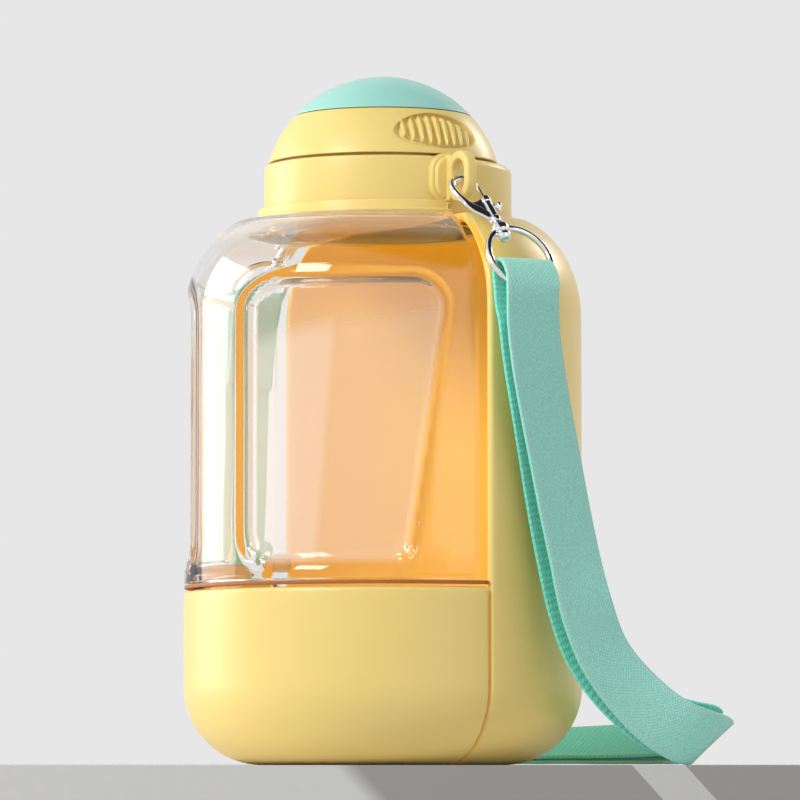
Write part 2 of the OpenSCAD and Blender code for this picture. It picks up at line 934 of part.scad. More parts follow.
module strap_slider() {
    long = 2 * slider_pitch + slider_bar;
    wide = strap_w + 5;
    color("#e9e6dc")
        translate([slider_at[0], slider_at[1], slider_low])
            difference() {
                translate([-long / 2, -wide / 2, 0])
                    cube([long, wide, slider_t]);
                for (s = [-1, 1])
                    translate([s * slider_pitch / 2, 0, -1])
                        translate([(slider_bar - slider_pitch) / 2, -strap_w / 2 - 0.5, 0])
                            cube([slider_pitch - slider_bar, strap_w + 1, slider_t + 2]);
            }
}

tank();
base_cup();
base_seal();
tank_flange();
collar();
bowl();
cap_gasket();
cap_core();
cap_shell();
lid_pin();
flip_lid();
spout_plug();
hook(-1);  // hook_near
gate(-1);  // gate_near
gate_spring(-1);  // gate_spring_near
swivel(-1);  // swivel_near
ring(-1);  // ring_near
hook(1);  // hook_far
gate(1);  // gate_far
gate_spring(1);  // gate_spring_far
swivel(1);  // swivel_far
ring(1);  // ring_far
strap_front();
strap_back();
strap_slider();
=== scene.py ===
import math
import bmesh
import bpy
import numpy as np
from mathutils import Matrix, Vector


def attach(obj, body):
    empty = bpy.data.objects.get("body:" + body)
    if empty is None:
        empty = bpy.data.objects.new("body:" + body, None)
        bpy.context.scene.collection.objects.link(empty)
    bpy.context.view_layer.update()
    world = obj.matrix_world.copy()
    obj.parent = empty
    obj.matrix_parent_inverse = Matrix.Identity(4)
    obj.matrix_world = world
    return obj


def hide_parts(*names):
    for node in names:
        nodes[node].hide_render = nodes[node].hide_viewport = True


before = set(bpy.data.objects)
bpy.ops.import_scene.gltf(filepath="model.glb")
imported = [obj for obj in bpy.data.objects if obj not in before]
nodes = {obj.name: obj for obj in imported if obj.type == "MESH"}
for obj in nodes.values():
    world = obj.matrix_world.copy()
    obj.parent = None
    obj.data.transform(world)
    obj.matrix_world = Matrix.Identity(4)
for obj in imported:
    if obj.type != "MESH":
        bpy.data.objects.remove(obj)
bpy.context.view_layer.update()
mm = 0.001

# Lengths are in mm, and each piece's values stand beside its code. Here are the picture's and the round body's.
look = {"distance": 1800.0, "azimuth": -31.5, "pixelsPerMm": 3.0, "axisX": 383.0, "groundY": 765.0, "height": 0.6,
        "pixels": 800.0, "sensor": 36.0}
body = {"radius": 66.3, "wallTop": 149.0, "foot": 26.0, "shoulderWide": 27.0, "shoulderHigh": 34.0, "top": 180.6,
        "seam": 0.3}


# Every vector divided by its own length.
def unit(v):
    return v / np.maximum(np.linalg.norm(v, axis=-1, keepdims=True), 1e-12)


# Corner numbers of the quads between neighbouring points of a rows x cols grid.
def gridQuads(rows, cols, closeRows, closeCols, first=0):
    r = np.arange(rows if closeRows else rows - 1)
    c = np.arange(cols if closeCols else cols - 1)
    r, c = np.meshgrid(r, c, indexing="ij")
    a = r * cols + c
    b = r * cols + (c + 1) % cols
    d = ((r + 1) % rows) * cols + c
    e = ((r + 1) % rows) * cols + (c + 1) % cols
    return np.stack([a, b, e, d], -1).reshape(-1, 4) + first


# One object from grids in mm, each (points, closeRows, closeCols), welded where their borders touch. With a cavity, the
# last grid's faces turn inward. The finish is a material and the name of its slot; the slot's name is not used.
def addSurface(name, grids, finish, bodyName, stands=(), uvs=None, weld=1e-6, cavity=False):
    points, quads, first = [], [], 0
    for grid, closeRows, closeCols in grids:
        rows, cols = grid.shape[:2]
        points.append(grid.reshape(-1, 3))
        quads.append(gridQuads(rows, cols, closeRows, closeCols, first))
        first += rows * cols
    lastQuads = len(quads[-1])
    points, quads = np.concatenate(points) * mm, np.concatenate(quads)
    mesh = bpy.data.meshes.new(name)
    mesh.vertices.add(len(points))
    mesh.vertices.foreach_set("co", points.ravel())
    mesh.loops.add(quads.size)
    mesh.loops.foreach_set("vertex_index", quads.ravel())
    mesh.polygons.add(len(quads))
    mesh.polygons.foreach_set("loop_start", np.arange(0, quads.size, 4))
    mesh.update(calc_edges=True)
    if uvs is not None:
        layer = mesh.uv_layers.new(name="UVMap")
        layer.data.foreach_set("uv", uvs.reshape(-1, 2)[quads.ravel()].astype(np.float32).ravel())
    work = bmesh.new()
    work.from_mesh(mesh)
    if cavity:
        inner = work.faces.layers.int.new("inner")
        for face in list(work.faces)[-lastQuads:]:
            face[inner] = 1
    bmesh.ops.remove_doubles(work, verts=work.verts, dist=weld)
    bmesh.ops.dissolve_degenerate(work, edges=work.edges, dist=1e-8)
    bmesh.ops.recalc_face_normals(work, faces=work.faces)
    if cavity:
        bmesh.ops.reverse_faces(work, faces=[face for face in work.faces if face[inner]])
        work.faces.layers.int.remove(inner)
    work.to_mesh(mesh)
    work.free()
    mesh.polygons.foreach_set("use_smooth", np.ones(len(mesh.polygons), bool))
    thing = bpy.data.objects.new(name, mesh)
    bpy.context.scene.collection.objects.link(thing)
    mesh.materials.append(finish[0])
    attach(thing, bodyName)
    if stands:
        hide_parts(*stands)
    return thing


# A finished mesh's points in mm.
def pointsOf(thing):
    co = np.zeros(len(thing.data.vertices) * 3)
    thing.data.vertices.foreach_get("co", co)
    return co.reshape(-1, 3) / mm


# Points at a radius and an angle about Z, at a height; each may be an array.
def polar(radius, angle, height):
    return np.stack(np.broadcast_arrays(radius * np.cos(angle), radius * np.sin(angle), height), -1)


# The profile's (radius, height) points turned through the angles about Z.
def lathe(profile, angles):
    return polar(profile[:, :1], angles, profile[:, 1:])


# Angles of a full turn, without the repeated last one.
def turns(count):
    return np.linspace(0, 2 * np.pi, count, endpoint=False)


# A line through (x, y, radius) corners, each turned into an arc of that radius.
def rounded(corners, steps=6):
    corners = [np.array(c, float) for c in corners]
    out = [corners[0][:2]]
    for before, at, after in zip(corners[:-2], corners[1:-1], corners[2:]):
        p, radius = at[:2], at[2]
        a, b = unit(before[:2] - p), unit(after[:2] - p)
        half = np.arccos(np.clip(a @ b, -1, 1)) / 2
        if radius < 1e-6 or half > np.pi / 2 - 1e-3:
            out.append(p)
            continue
        reach = radius / np.tan(half)
        middle = p + unit(a + b) * radius / np.sin(half)
        start, end = p + a * reach - middle, p + b * reach - middle
        sweep = np.arctan2(start[0] * end[1] - start[1] * end[0], start @ end)
        turn = np.linspace(0, sweep, steps + 1)
        out += [middle + np.array([np.cos(t) * start[0] - np.sin(t) * start[1],
                                   np.sin(t) * start[0] + np.cos(t) * start[1]]) for t in turn]
    out.append(corners[-1][:2])
    return np.array(out)


# A box's cross-section with rounded corners, as a closed line of (across, up) points.
def boxSection(soft, steps, wide=1, high=1):
    return rounded([(0, -high, 0), (wide, -high, soft), (wide, high, soft), (-wide, high, soft), (-wide, -high, soft),
                    (0, -high, 0)], steps)[:-1]


# An S-shaped rise from 0 to 1.
def sCurve(t):
    t = np.clip(t, 0, 1)
    return t * t * (3 - 2 * t)


# A curve through all the points (cubic pieces with tangents from the neighbours), evenly spaced.
def smoothLine(points, count):
    p = np.vstack([2 * points[0] - points[1], points, 2 * points[-1] - points[-2]])
    t = np.linspace(0, 1, 24, endpoint=False)[:, None]
    parts = []
    for a, b, c, d in zip(p[:-3], p[1:-2], p[2:-1], p[3:]):
        square, cube = (2 * a - 5 * b + 4 * c - d) * t ** 2, (3 * b - a - 3 * c + d) * t ** 3
        parts.append(0.5 * (2 * b + (c - a) * t + square + cube))
    parts.append(points[-1:])
    line = np.vstack(parts)
    step = np.r_[0, np.cumsum(np.linalg.norm(np.diff(line[:, :3], axis=0), axis=1))]
    at = np.linspace(0, step[-1], count)
    return np.stack([np.interp(at, step, line[:, k]) for k in range(line.shape[1])], -1)


# Circles or ovals across a path, turned to its direction: radii lie in the path's plane, and depths stand across it.
def tube(path, radii, sides=24, closed=False, up=(0, 1, 0), depths=None):
    path = np.asarray(path, float)
    if closed:
        along = unit(np.roll(path, -1, 0) - np.roll(path, 1, 0))
    else:
        along = unit(np.gradient(path, axis=0))
    side = unit(np.cross(along, np.asarray(up, float)))
    over = np.cross(side, along)
    angle = turns(sides)
    radii = np.broadcast_to(np.asarray(radii, float), (len(path),))[:, None, None]
    depths = radii if depths is None else np.broadcast_to(np.asarray(depths, float), (len(path),))[:, None, None]
    return (path[:, None] + radii * np.cos(angle)[None, :, None] * side[:, None]
            + depths * np.sin(angle)[None, :, None] * over[:, None])


# A grid for addSurface whose rows are closed loops, then one that is closed from end to end as well, and one whose
# first and last rows are drawn together to their middles.
def around(grid):
    return grid, False, True


def looped(grid):
    return grid, True, True


def capped(grid):
    first, last = grid[:1].mean(1, keepdims=True), grid[-1:].mean(1, keepdims=True)
    return around(np.concatenate([np.repeat(first, grid.shape[1], 1), grid, np.repeat(last, grid.shape[1], 1)]))


# The grid's points moved by a 4 x 4 matrix.
def placed(grid, matrix):
    m = np.array(matrix)
    return grid @ m[:3, :3].T + m[:3, 3]


# Sets a node's inputs by name or number: another node's output is linked, and a colour gets its fourth number.
def feed(tree, node, values):
    for slot, value in values.items():
        socket = node.inputs[slot]
        if isinstance(value, bpy.types.NodeSocket):
            tree.links.new(value, socket)
        else:
            socket.default_value = (*value, 1) if socket.type == "RGBA" else value


def addNode(tree, kind, values=None, **settings):
    node = tree.nodes.new("ShaderNode" + kind)
    for label, value in settings.items():
        setattr(node, label, value)
    feed(tree, node, values or {})
    return node


def newMaterial(name):
    made = bpy.data.materials.new(name)
    made.use_nodes = True
    return made, made.node_tree, made.node_tree.nodes["Principled BSDF"]


# An empty group with its number inputs and outputs.
def newGroup(name, inputs, outputs):
    group = bpy.data.node_groups.new(name, "ShaderNodeTree")
    for label, value in inputs.items():
        group.interface.new_socket(label, in_out="INPUT", socket_type="NodeSocketFloat").default_value = value
    for label in outputs:
        group.interface.new_socket(label, in_out="OUTPUT", socket_type="NodeSocketFloat")
    return group, group.nodes.new("NodeGroupInput").outputs, group.nodes.new("NodeGroupOutput")


def calc(tree, operation, *values):
    return addNode(tree, "Math", dict(enumerate(values)), operation=operation).outputs[0]


def mixed(tree, factor, first, second):
    return addNode(tree, "Mix", {0: factor, 6: first, 7: second}, data_type="RGBA").outputs[2]


def noise(tree, place, scale, detail=2.0):
    return addNode(tree, "TexNoise", {"Vector": place, "Scale": scale, "Detail": detail}).outputs["Fac"]


def objectPlace(tree):
    return addNode(tree, "TexCoord").outputs["Object"]


# How far a value lies between start and end, as a number from low to high.
def ramp(tree, value, start, end, low, high, kind="LINEAR"):
    values = {"Value": value, "From Min": start, "From Max": end, "To Min": low, "To Max": high}
    return addNode(tree, "MapRange", values, interpolation_type=kind).outputs["Result"]


def bumped(tree, shader, height, strength, distance):
    bump = addNode(tree, "Bump", {"Strength": strength, "Distance": distance, "Height": height})
    tree.links.new(bump.outputs["Normal"], shader.inputs["Normal"])


moulding = {"grain": 1400.0, "waves": 26.0, "waveHeight": 6.0, "waveGloss": 0.14, "fineGloss": 0.06, "bump": 0.12,
            "coat": 0.12, "coatRough": 0.2, "under": 0.15, "underRadius": (1.0, 0.6, 0.25), "underScale": 0.004}


# Moulded grain: fine noise for the bump, a slow noise for the height's waves, the gloss and the tint.
def makeGrain():
    tree, ins, outs = newGroup("mouldedGrain", {"Grain": 900.0, "Gloss": 0.3}, ("Height", "Roughness", "Tint"))
    place = objectPlace(tree)
    fine, slow = noise(tree, place, ins["Grain"]), noise(tree, place, moulding["waves"], 3)
    height = calc(tree, "MULTIPLY_ADD", slow, moulding["waveHeight"], fine)
    base = calc(tree, "ADD", ins["Gloss"], -moulding["waveGloss"] / 2)
    rough = calc(tree, "MULTIPLY_ADD", fine, moulding["fineGloss"],
                 calc(tree, "MULTIPLY_ADD", slow, moulding["waveGloss"], base))
    feed(tree, outs, {"Height": height, "Roughness": rough, "Tint": slow})
    return tree


weave = {"ribPitch": 0.62, "fuzz": 1700.0, "speck": 1500.0, "plain": 0.5, "fuzzHigh": 1.1, "stitchIn": 0.0011,
         "stitchHalf": 0.00028, "stitchDeep": 0.9, "speckShade": 0.8, "plainShade": 0.10, "ribShade": 0.16}


# Weave: warp and weft threads as a product of two waves of the cloth's own coordinates, cross ribs and a fuzz of noise.
# A stitched line lies along each edge.
def makeWeave():
    tree, ins, outs = newGroup("webbingWeave", {"Threads": 900.0, "Ribs": 0.0, "Half Width": 0.01},
                               ("Height", "Shade", "Edge"))
    split = addNode(tree, "SeparateXYZ", {0: addNode(tree, "UVMap").outputs["UV"]}).outputs
    u, v = split["X"], split["Y"]
    scale = calc(tree, "MULTIPLY", ins["Threads"], math.pi)
    along, over = [calc(tree, "SINE", calc(tree, "MULTIPLY", side, scale)) for side in (u, v)]
    plain = calc(tree, "MULTIPLY", along, over)
    ribs = calc(tree, "SINE", calc(tree, "MULTIPLY", u, calc(tree, "MULTIPLY", scale, weave["ribPitch"])))
    ribs = calc(tree, "MULTIPLY", ribs, ins["Ribs"])
    place = objectPlace(tree)
    fuzz, speck = noise(tree, place, weave["fuzz"]), noise(tree, place, weave["speck"])
    height = calc(tree, "ADD", calc(tree, "MULTIPLY_ADD", plain, weave["plain"], ribs),
                  calc(tree, "MULTIPLY", fuzz, weave["fuzzHigh"]))
    rim = calc(tree, "SUBTRACT", ins["Half Width"], calc(tree, "ABSOLUTE", v))
    edge = calc(tree, "ABSOLUTE", calc(tree, "SUBTRACT", rim, weave["stitchIn"]))
    edge = calc(tree, "LESS_THAN", edge, weave["stitchHalf"])
    shade = calc(tree, "MULTIPLY_ADD", calc(tree, "SUBTRACT", speck, 0.5), weave["speckShade"],
                 calc(tree, "MULTIPLY", plain, weave["plainShade"]))
    feed(tree, outs, {"Height": calc(tree, "MULTIPLY_ADD", edge, -weave["stitchDeep"], height), "Edge": edge,
                      "Shade": calc(tree, "MULTIPLY_ADD", ribs, weave["ribShade"], shade)})
    return tree


grainGroup, weaveGroup = makeGrain(), makeWeave()


# Moulded plastic: the grain drives the bump, the gloss and a slight change of tint; some light goes under the skin.
# Where a piece is marked inside, it is painted a deeper orange and given a painted glow, standing in for light within
# the bowl.
def moulded(name, colour, deeper, roughness=0.34, inside=None):
    made, tree, shader = newMaterial(name)
    grain = addNode(tree, "Group", {"Grain": moulding["grain"], "Gloss": roughness}, node_tree=grainGroup).outputs
    tint = mixed(tree, grain["Tint"], colour, deeper)
    feed(tree, shader, {"Coat Weight": moulding["coat"], "Coat Roughness": moulding["coatRough"],
                        "Subsurface Weight": moulding["under"], "Subsurface Radius": moulding["underRadius"],
                        "Subsurface Scale": moulding["underScale"]})
    if inside:
        # Painted light: the inside is painted a deeper orange and given a painted glow, though no lamp lights it.
        mask = addNode(tree, "Attribute", attribute_name="inside").outputs["Fac"]
        tint = mixed(tree, mask, tint, inside["colour"])
        feed(tree, shader, {"Emission Color": mixed(tree, mask, (0, 0, 0), inside["paintedGlow"]), "Emission Strength": 1.0})
    feed(tree, shader, {"Base Color": tint, "Roughness": grain["Roughness"]})
    bumped(tree, shader, grain["Height"], moulding["bump"], 0.0002)
    return made


# Clear plastic: glass with slow moulding waves. The lamps' and the surroundings' light goes straight through, and so
# does sight through the flat side; a thin milky sheet of painted light, a peach diffuse that stands in for light from
# the bowl seen through, lies in the finger windows and on the shoulder.
def clearPlastic():
    made, tree, shader = newMaterial("clearPlastic")
    feed(tree, shader, {"Base Color": (0.99, 0.99, 0.985), "Roughness": 0.0, "IOR": 1.42, "Transmission Weight": 1.0})
    bumped(tree, shader, noise(tree, objectPlace(tree), 34, 1), 0.45, 0.0006)
    path = addNode(tree, "LightPath").outputs
    masks = addNode(tree, "Attribute", attribute_name="masks").outputs["Color"]
    masks = addNode(tree, "SeparateColor", {0: masks}).outputs
    lighting = calc(tree, "MAXIMUM", path["Is Shadow Ray"], path["Is Diffuse Ray"])
    plain = addNode(tree, "BsdfTransparent", {"Color": (0.975, 0.975, 0.97)}).outputs[0]
    # Painted light: a peach diffuse sheet that stands in for light seen through the windows and the shoulder.
    paintedLightSheet = addNode(tree, "BsdfDiffuse", {"Color": (1.0, 0.90, 0.80)}).outputs[0]
    through = calc(tree, "MAXIMUM", lighting, masks[0])
    glass = addNode(tree, "MixShader", {0: through, 1: shader.outputs[0], 2: plain}).outputs[0]
    share = calc(tree, "MULTIPLY", masks[1], calc(tree, "SUBTRACT", 1.0, lighting))
    withPaintedLight = addNode(tree, "MixShader", {0: share, 1: glass, 2: paintedLightSheet}).outputs[0]
    tree.links.new(withPaintedLight, tree.nodes["Material Output"].inputs["Surface"])
    return made


# Polished steel: near mirror, with faint smears of gloss and hair lines.
def polished(name, colour, roughness):
    made, tree, shader = newMaterial(name)
    place = objectPlace(tree)
    stretched = addNode(tree, "Mapping", {"Vector": place, "Scale": (1, 1, 0.12)}).outputs[0]
    smear, hair = noise(tree, place, 160), noise(tree, stretched, 2600)
    rough = calc(tree, "MAXIMUM", calc(tree, "MULTIPLY_ADD", smear, 0.08, roughness - 0.04), 0.02)
    tint = mixed(tree, smear, colour, tuple(c * 0.9 for c in colour))
    feed(tree, shader, {"Metallic": 1.0, "Roughness": rough, "Base Color": tint})
    bumped(tree, shader, hair, 0.06, 0.00005)
    return made


strap = {"wide": 20.0, "thick": 1.4, "soft": 0.45, "threads": 1500.0, "clear": 0.1}


# Webbing: threads lift the surface, the specks between them shade it, and the stitched lines take the thread's colour.
def woven(name, colour, thread, ribs):
    made, tree, shader = newMaterial(name)
    values = {"Threads": strap["threads"], "Ribs": ribs, "Half Width": strap["wide"] / 2 * mm}
    cloth = addNode(tree, "Group", values, node_tree=weaveGroup).outputs
    dark, light = tuple(c * 0.72 for c in colour), tuple(min(c * 1.28 + 0.02, 1) for c in colour)
    tint = mixed(tree, calc(tree, "ADD", cloth["Shade"], 0.5), dark, light)
    tint = mixed(tree, calc(tree, "MULTIPLY", cloth["Edge"], 0.5), tint, thread)
    feed(tree, shader, {"Base Color": tint, "Roughness": 0.82, "Sheen Weight": 0.25, "Sheen Roughness": 0.4})
    bumped(tree, shader, cloth["Height"], 0.55, 0.00022)
    return made


# Each finish is a material and its slot.
# The bowl's inside colour and glow are painted light: a deeper orange and an emission that stand in for light within
# the bowl.
paint = {"yellow": (0.90, 0.70, 0.245), "deepYellow": (0.85, 0.64, 0.20), "thread": (0.5, 0.75, 0.68),
         "bowlInsidePaintedLight": {"colour": (0.90, 0.53, 0.07), "paintedGlow": (0.18, 0.085, 0.0)}}
yellow = moulded("yellowPlastic", paint["yellow"], paint["deepYellow"]), "yellow_plastic"
bowlYellowPaintedGlow = moulded("bowlPlasticPaintedGlow", paint["yellow"], paint["deepYellow"], inside=paint["bowlInsidePaintedLight"]), "yellow_plastic"
mint = moulded("mintPlastic", (0.37, 0.74, 0.66), (0.33, 0.69, 0.61)), "mint_plastic"
sealRubber = moulded("sealRubber", (0.42, 0.14, 0.03), (0.36, 0.11, 0.02), 0.5), "seal"
silicone = moulded("silicone", (0.86, 0.80, 0.66), (0.82, 0.75, 0.60), 0.5)
clear = clearPlastic(), "clear_plastic"
steel = polished("polishedSteel", (0.88, 0.89, 0.90), 0.06), "steel"
webbing = woven("webbing", (0.33, 0.74, 0.63), paint["thread"], 0.0), "webbing"
webbingBack = woven("webbingBack", (0.17, 0.80, 0.62), paint["thread"], 0.6), "webbing"


# (radius, height) points and outward normals of the body's skin, from the foot's middle to the shoulder's top.
def bodyOutline(inset=0.0, low=0.0, high=None):
    arc = np.linspace(-90, 0, 25) * np.pi / 180
    turn = np.linspace(0, 90, 41) * np.pi / 180
    foot = body["foot"] - inset
    footRadius = body["radius"] - body["foot"]
    line = [np.stack([np.linspace(1, footRadius, 14, endpoint=False), np.full(14, inset)], -1),
            np.stack([footRadius + foot * np.cos(arc), body["foot"] + foot * np.sin(arc)], -1),
            np.stack([np.full(44, body["radius"] - inset), np.linspace(body["foot"], body["wallTop"], 46)[1:-1]], -1),
            np.stack([body["radius"] - body["shoulderWide"] + (body["shoulderWide"] - inset) * np.cos(turn),
                      body["wallTop"] + (body["shoulderHigh"] - inset) * np.sin(turn)], -1)]
    line = np.vstack(line)
    if high is not None:
        line = line[line[:, 1] < high]
    if low > 0:
        line = line[line[:, 1] > low]
    along = unit(np.gradient(line, axis=0))
    return line, np.stack([along[:, 1], -along[:, 0]], -1)


# Depth of a flat cut along the seam at the shoulder: it falls from a ridge, at x = wide, towards the seam.
def seamFacet(x, height, facet):
    if facet is None:
        return 0 * x
    wide = facet["wide"] * np.clip((height - facet["from"]) / facet["grow"], 0, 1)
    return facet["deep"] * np.clip((facet["to"] - height) / 3, 0, 1) * np.clip((wide - np.abs(x)) / facet["wide"], 0, 1)


# A half-round shell: rows run along the outline, columns go round the skin, over the rounded seam edge and back inside.
# A point is the outline's radius and height moved inward along the normal by its share of the wall, turned about Z.
# Past the outline's end, the wall closes in a half round.
def halfShell(line, normal, wall, sign, edge, innerEdge, facet=None, arcCount=120, lipCount=6, endCount=6):
    face, meet = body["seam"], (edge + innerEdge) / 2
    quarter = np.linspace(0, np.pi / 2, lipCount)
    inward = np.r_[edge * (1 - np.sin(quarter)), innerEdge * (1 - np.cos(quarter))]
    off = np.r_[edge * (1 - np.cos(quarter)), wall - innerEdge * (1 - np.sin(quarter))]
    stations = [(p, n, 0.0, wall, 0.0) for p, n in zip(line, normal)]
    along = np.array([-normal[-1][1], normal[-1][0]])
    for t in np.linspace(0, 1, endCount + 1)[1:]:
        bulge, pinch = wall / 2 * np.sin(t * np.pi / 2), wall / 2 * (1 - np.cos(t * np.pi / 2))
        stations.append((line[-1] + along * bulge, normal[-1], pinch, wall - pinch, t))
    rows = []
    for p, n, outer, inner, t in stations:
        skins = []
        for offset, start, direction in ((outer, edge, 1), (inner, innerEdge, -1)):
            inset = start + (meet - start) * t
            radius = p[0] - offset * n[0]
            limit = np.arccos(np.clip((face + inset) / max(radius, face + inset), -1, 1))
            angle = np.linspace(-1, 1, arcCount) * limit * direction
            cut = seamFacet(radius * np.cos(angle), p[1], facet) * (direction > 0) * (1 - t)
            skins.append(polar(radius - cut * n[0], angle, p[1] - (offset + cut) * n[1]))
        x = face + inward + (meet - inward) * t
        deep = outer + off * ((inner - outer) / wall) + seamFacet(x, p[1], facet) * (1 - off / wall) * (1 - t)
        y = np.sqrt(np.maximum((p[0] - deep * n[0]) ** 2 - x ** 2, 0))
        lip = np.stack([x, y, p[1] - deep * n[1]], -1)
        rows.append(np.concatenate([skins[0], lip, skins[1], lip[::-1] * [1, -1, 1]]))
    grid = np.array(rows)
    grid = np.concatenate([np.repeat(grid[:1].mean(1, keepdims=True), grid.shape[1], 1), grid])
    return around(grid * [sign, 1, 1])


# A point attribute named inside: 1 where a point lies nearer the axis than the wall's middle, 0 on the skin; the bowl's
# painted orange and painted glow go where it is 1.
def markInside(thing, wall):
    co = pointsOf(thing)
    line, _ = bodyOutline(wall / 2)
    radius = np.hypot(co[:, 0], co[:, 1])
    lowest = np.interp(radius, line[:60, 0], line[:60, 1])
    edge = np.interp(co[:, 2], line[10:, 1], line[10:, 0])
    mask = ((radius < edge) & (co[:, 2] > lowest) & (co[:, 2] < body["top"] - wall / 2)).astype(np.float32)
    thing.data.attributes.new("inside", "FLOAT", "POINT").data.foreach_set("value", mask)


windows = {"direction": 130.0, "low": 65.0, "high": 157.0, "half": 29.0, "halfLow": 18.5, "round": 9.0, "deep": 2.6,
           "slope": 1.9, "ease": 18.0, "stretch": 0.6, "reach": 1.5}


# How far an angle lies from the middle of one side's window, in radians.
def fromWindow(angle, side):
    return np.mod(angle - side * np.radians(windows["direction"]) + np.pi, 2 * np.pi) - np.pi


# Depth of the finger window at an angle about Z and a height: a rounded slanted outline, with an S-shaped wall.
def windowDepth(angle, height, grow=0.0):
    total = np.zeros(np.broadcast(angle, height).shape)
    soft, reach = windows["round"], windows["reach"]
    lo, hi = windows["low"] + soft, windows["high"] - soft
    for side in (1, -1):
        across = fromWindow(angle, side)
        x = side * np.sin(np.clip(across, -reach, reach)) * body["radius"]
        x = np.where(x > windows["ease"], windows["ease"] + (x - windows["ease"]) * windows["stretch"], x)
        part = np.clip((height - lo) / (hi - lo), 0, 1)
        left = -(windows["halfLow"] + (windows["half"] - windows["halfLow"]) * part) + soft
        dx = np.maximum(np.maximum(left - x, x - (windows["half"] - soft)), 0)
        dy = np.maximum(np.maximum(lo - height, height - hi), 0)
        depth = sCurve(0.5 - (np.hypot(dx, dy) - (soft + grow)) / windows["slope"])
        total = np.maximum(total, np.where(np.abs(across) < reach, depth, 0))
    return total * windows["deep"]


flask = {"wall": 2.5, "low": 59.8, "inset": 3.1, "corner": 1.6, "innerCorner": 1.2, "footTop": 59.2, "lip": 60.0,
         "neckFrom": 44.3, "neckTo": 26.3, "neckInside": 20.0}


# Closed D-shaped loops of the flask: an arc about Z with the windows pressed in, rounded corners and a flat side.
def flaskLoops(line, normal, inner, arcCount=230, faceCount=30, cornerCount=5):
    wall = flask["wall"] if inner else 0
    face, corner = body["seam"] + wall, flask["innerCorner"] if inner else flask["corner"]
    quarter = np.linspace(0, np.pi / 2, cornerCount + 1)[1:]
    rows = []
    for p, n in zip(line, normal):
        radius = max(p[0], 1.0)
        c = min(corner, radius * 0.4)
        limit = np.arccos(np.clip((face + c) / max(radius, face + c + 1e-3), -1, 1))
        angle = np.linspace(-limit, limit, arcCount)
        arc = polar(radius - windowDepth(angle + np.pi, p[1], wall) * n[0] ** 2, angle, p[1])
        cornerY = np.maximum(arc[-1, 1] - c * (1 - np.cos(quarter)) * 0.9, 0)
        up = np.stack([arc[-1, 0] - c * np.sin(quarter), cornerY, np.full(cornerCount, p[1])], -1)
        span = np.linspace(1, -1, faceCount + 2)[1:-1] * cornerY[-1]
        flat = np.stack([np.full(faceCount, up[-1, 0]), span, np.full(faceCount, p[1])], -1)
        rows.append(np.concatenate([arc, up, flat, up[::-1] * [1, -1, 1]]))
    return np.array(rows) * [-1, 1, 1]


# The skin's line: a foot that stands in the cup, a flared lip over the cup's edge, the body and the top's flat. The
# cavity's line keeps inside it by the wall.
def flaskShell():
    footRadius, low, top, wall = body["radius"] - flask["inset"], flask["low"], body["top"], flask["wall"]
    line, normal = bodyOutline(0, low=low + 0.8, high=top)
    foot, footNormal = bodyOutline(flask["inset"], high=flask["footTop"])
    lip = rounded([(footRadius, flask["footTop"], 0), (footRadius, flask["lip"], 0.5),
                   (body["radius"], flask["lip"], 0.4), (body["radius"], flask["lip"] + 1, 0)], 3)[1:-1]
    outLine = np.vstack([foot, lip, line, [[flask["neckFrom"], top], [flask["neckTo"], top]]])
    outNormal = np.vstack([footNormal, np.tile([1, 0], (len(lip), 1)), normal, [[0, 1], [0, 1]]])
    inLine, inNormal = bodyOutline(wall, low=low + 3.2, high=top - wall)
    inFoot, inFootNormal = bodyOutline(flask["inset"] + wall, high=low + 1.4)
    inLine = np.vstack([inFoot, inLine, [[flask["neckInside"], top - wall]]])
    inNormal = np.vstack([inFootNormal, inNormal, [[0, 1]]])
    return [capped(flaskLoops(outLine, outNormal, False)), capped(flaskLoops(inLine, inNormal, True, 150, 20))]


# Shares of the painted light in the finger windows and on the shoulder: thin above a slanting line, and below it
# changing at a leaning edge.
paintedVeil = {"above": 0.2, "right": 0.3, "left": 0.45, "lineHigh": 148.9, "lineSlope": 0.173, "lineFrom": -28.0,
        "lineSoft": 7.0, "edge": 7.0, "edgeLean": 0.085, "edgeFrom": 140.0, "edgeSoft": 2.4, "shoulder": 0.1,
        "shoulderFrom": 171.0, "shoulderSoft": 4.0}


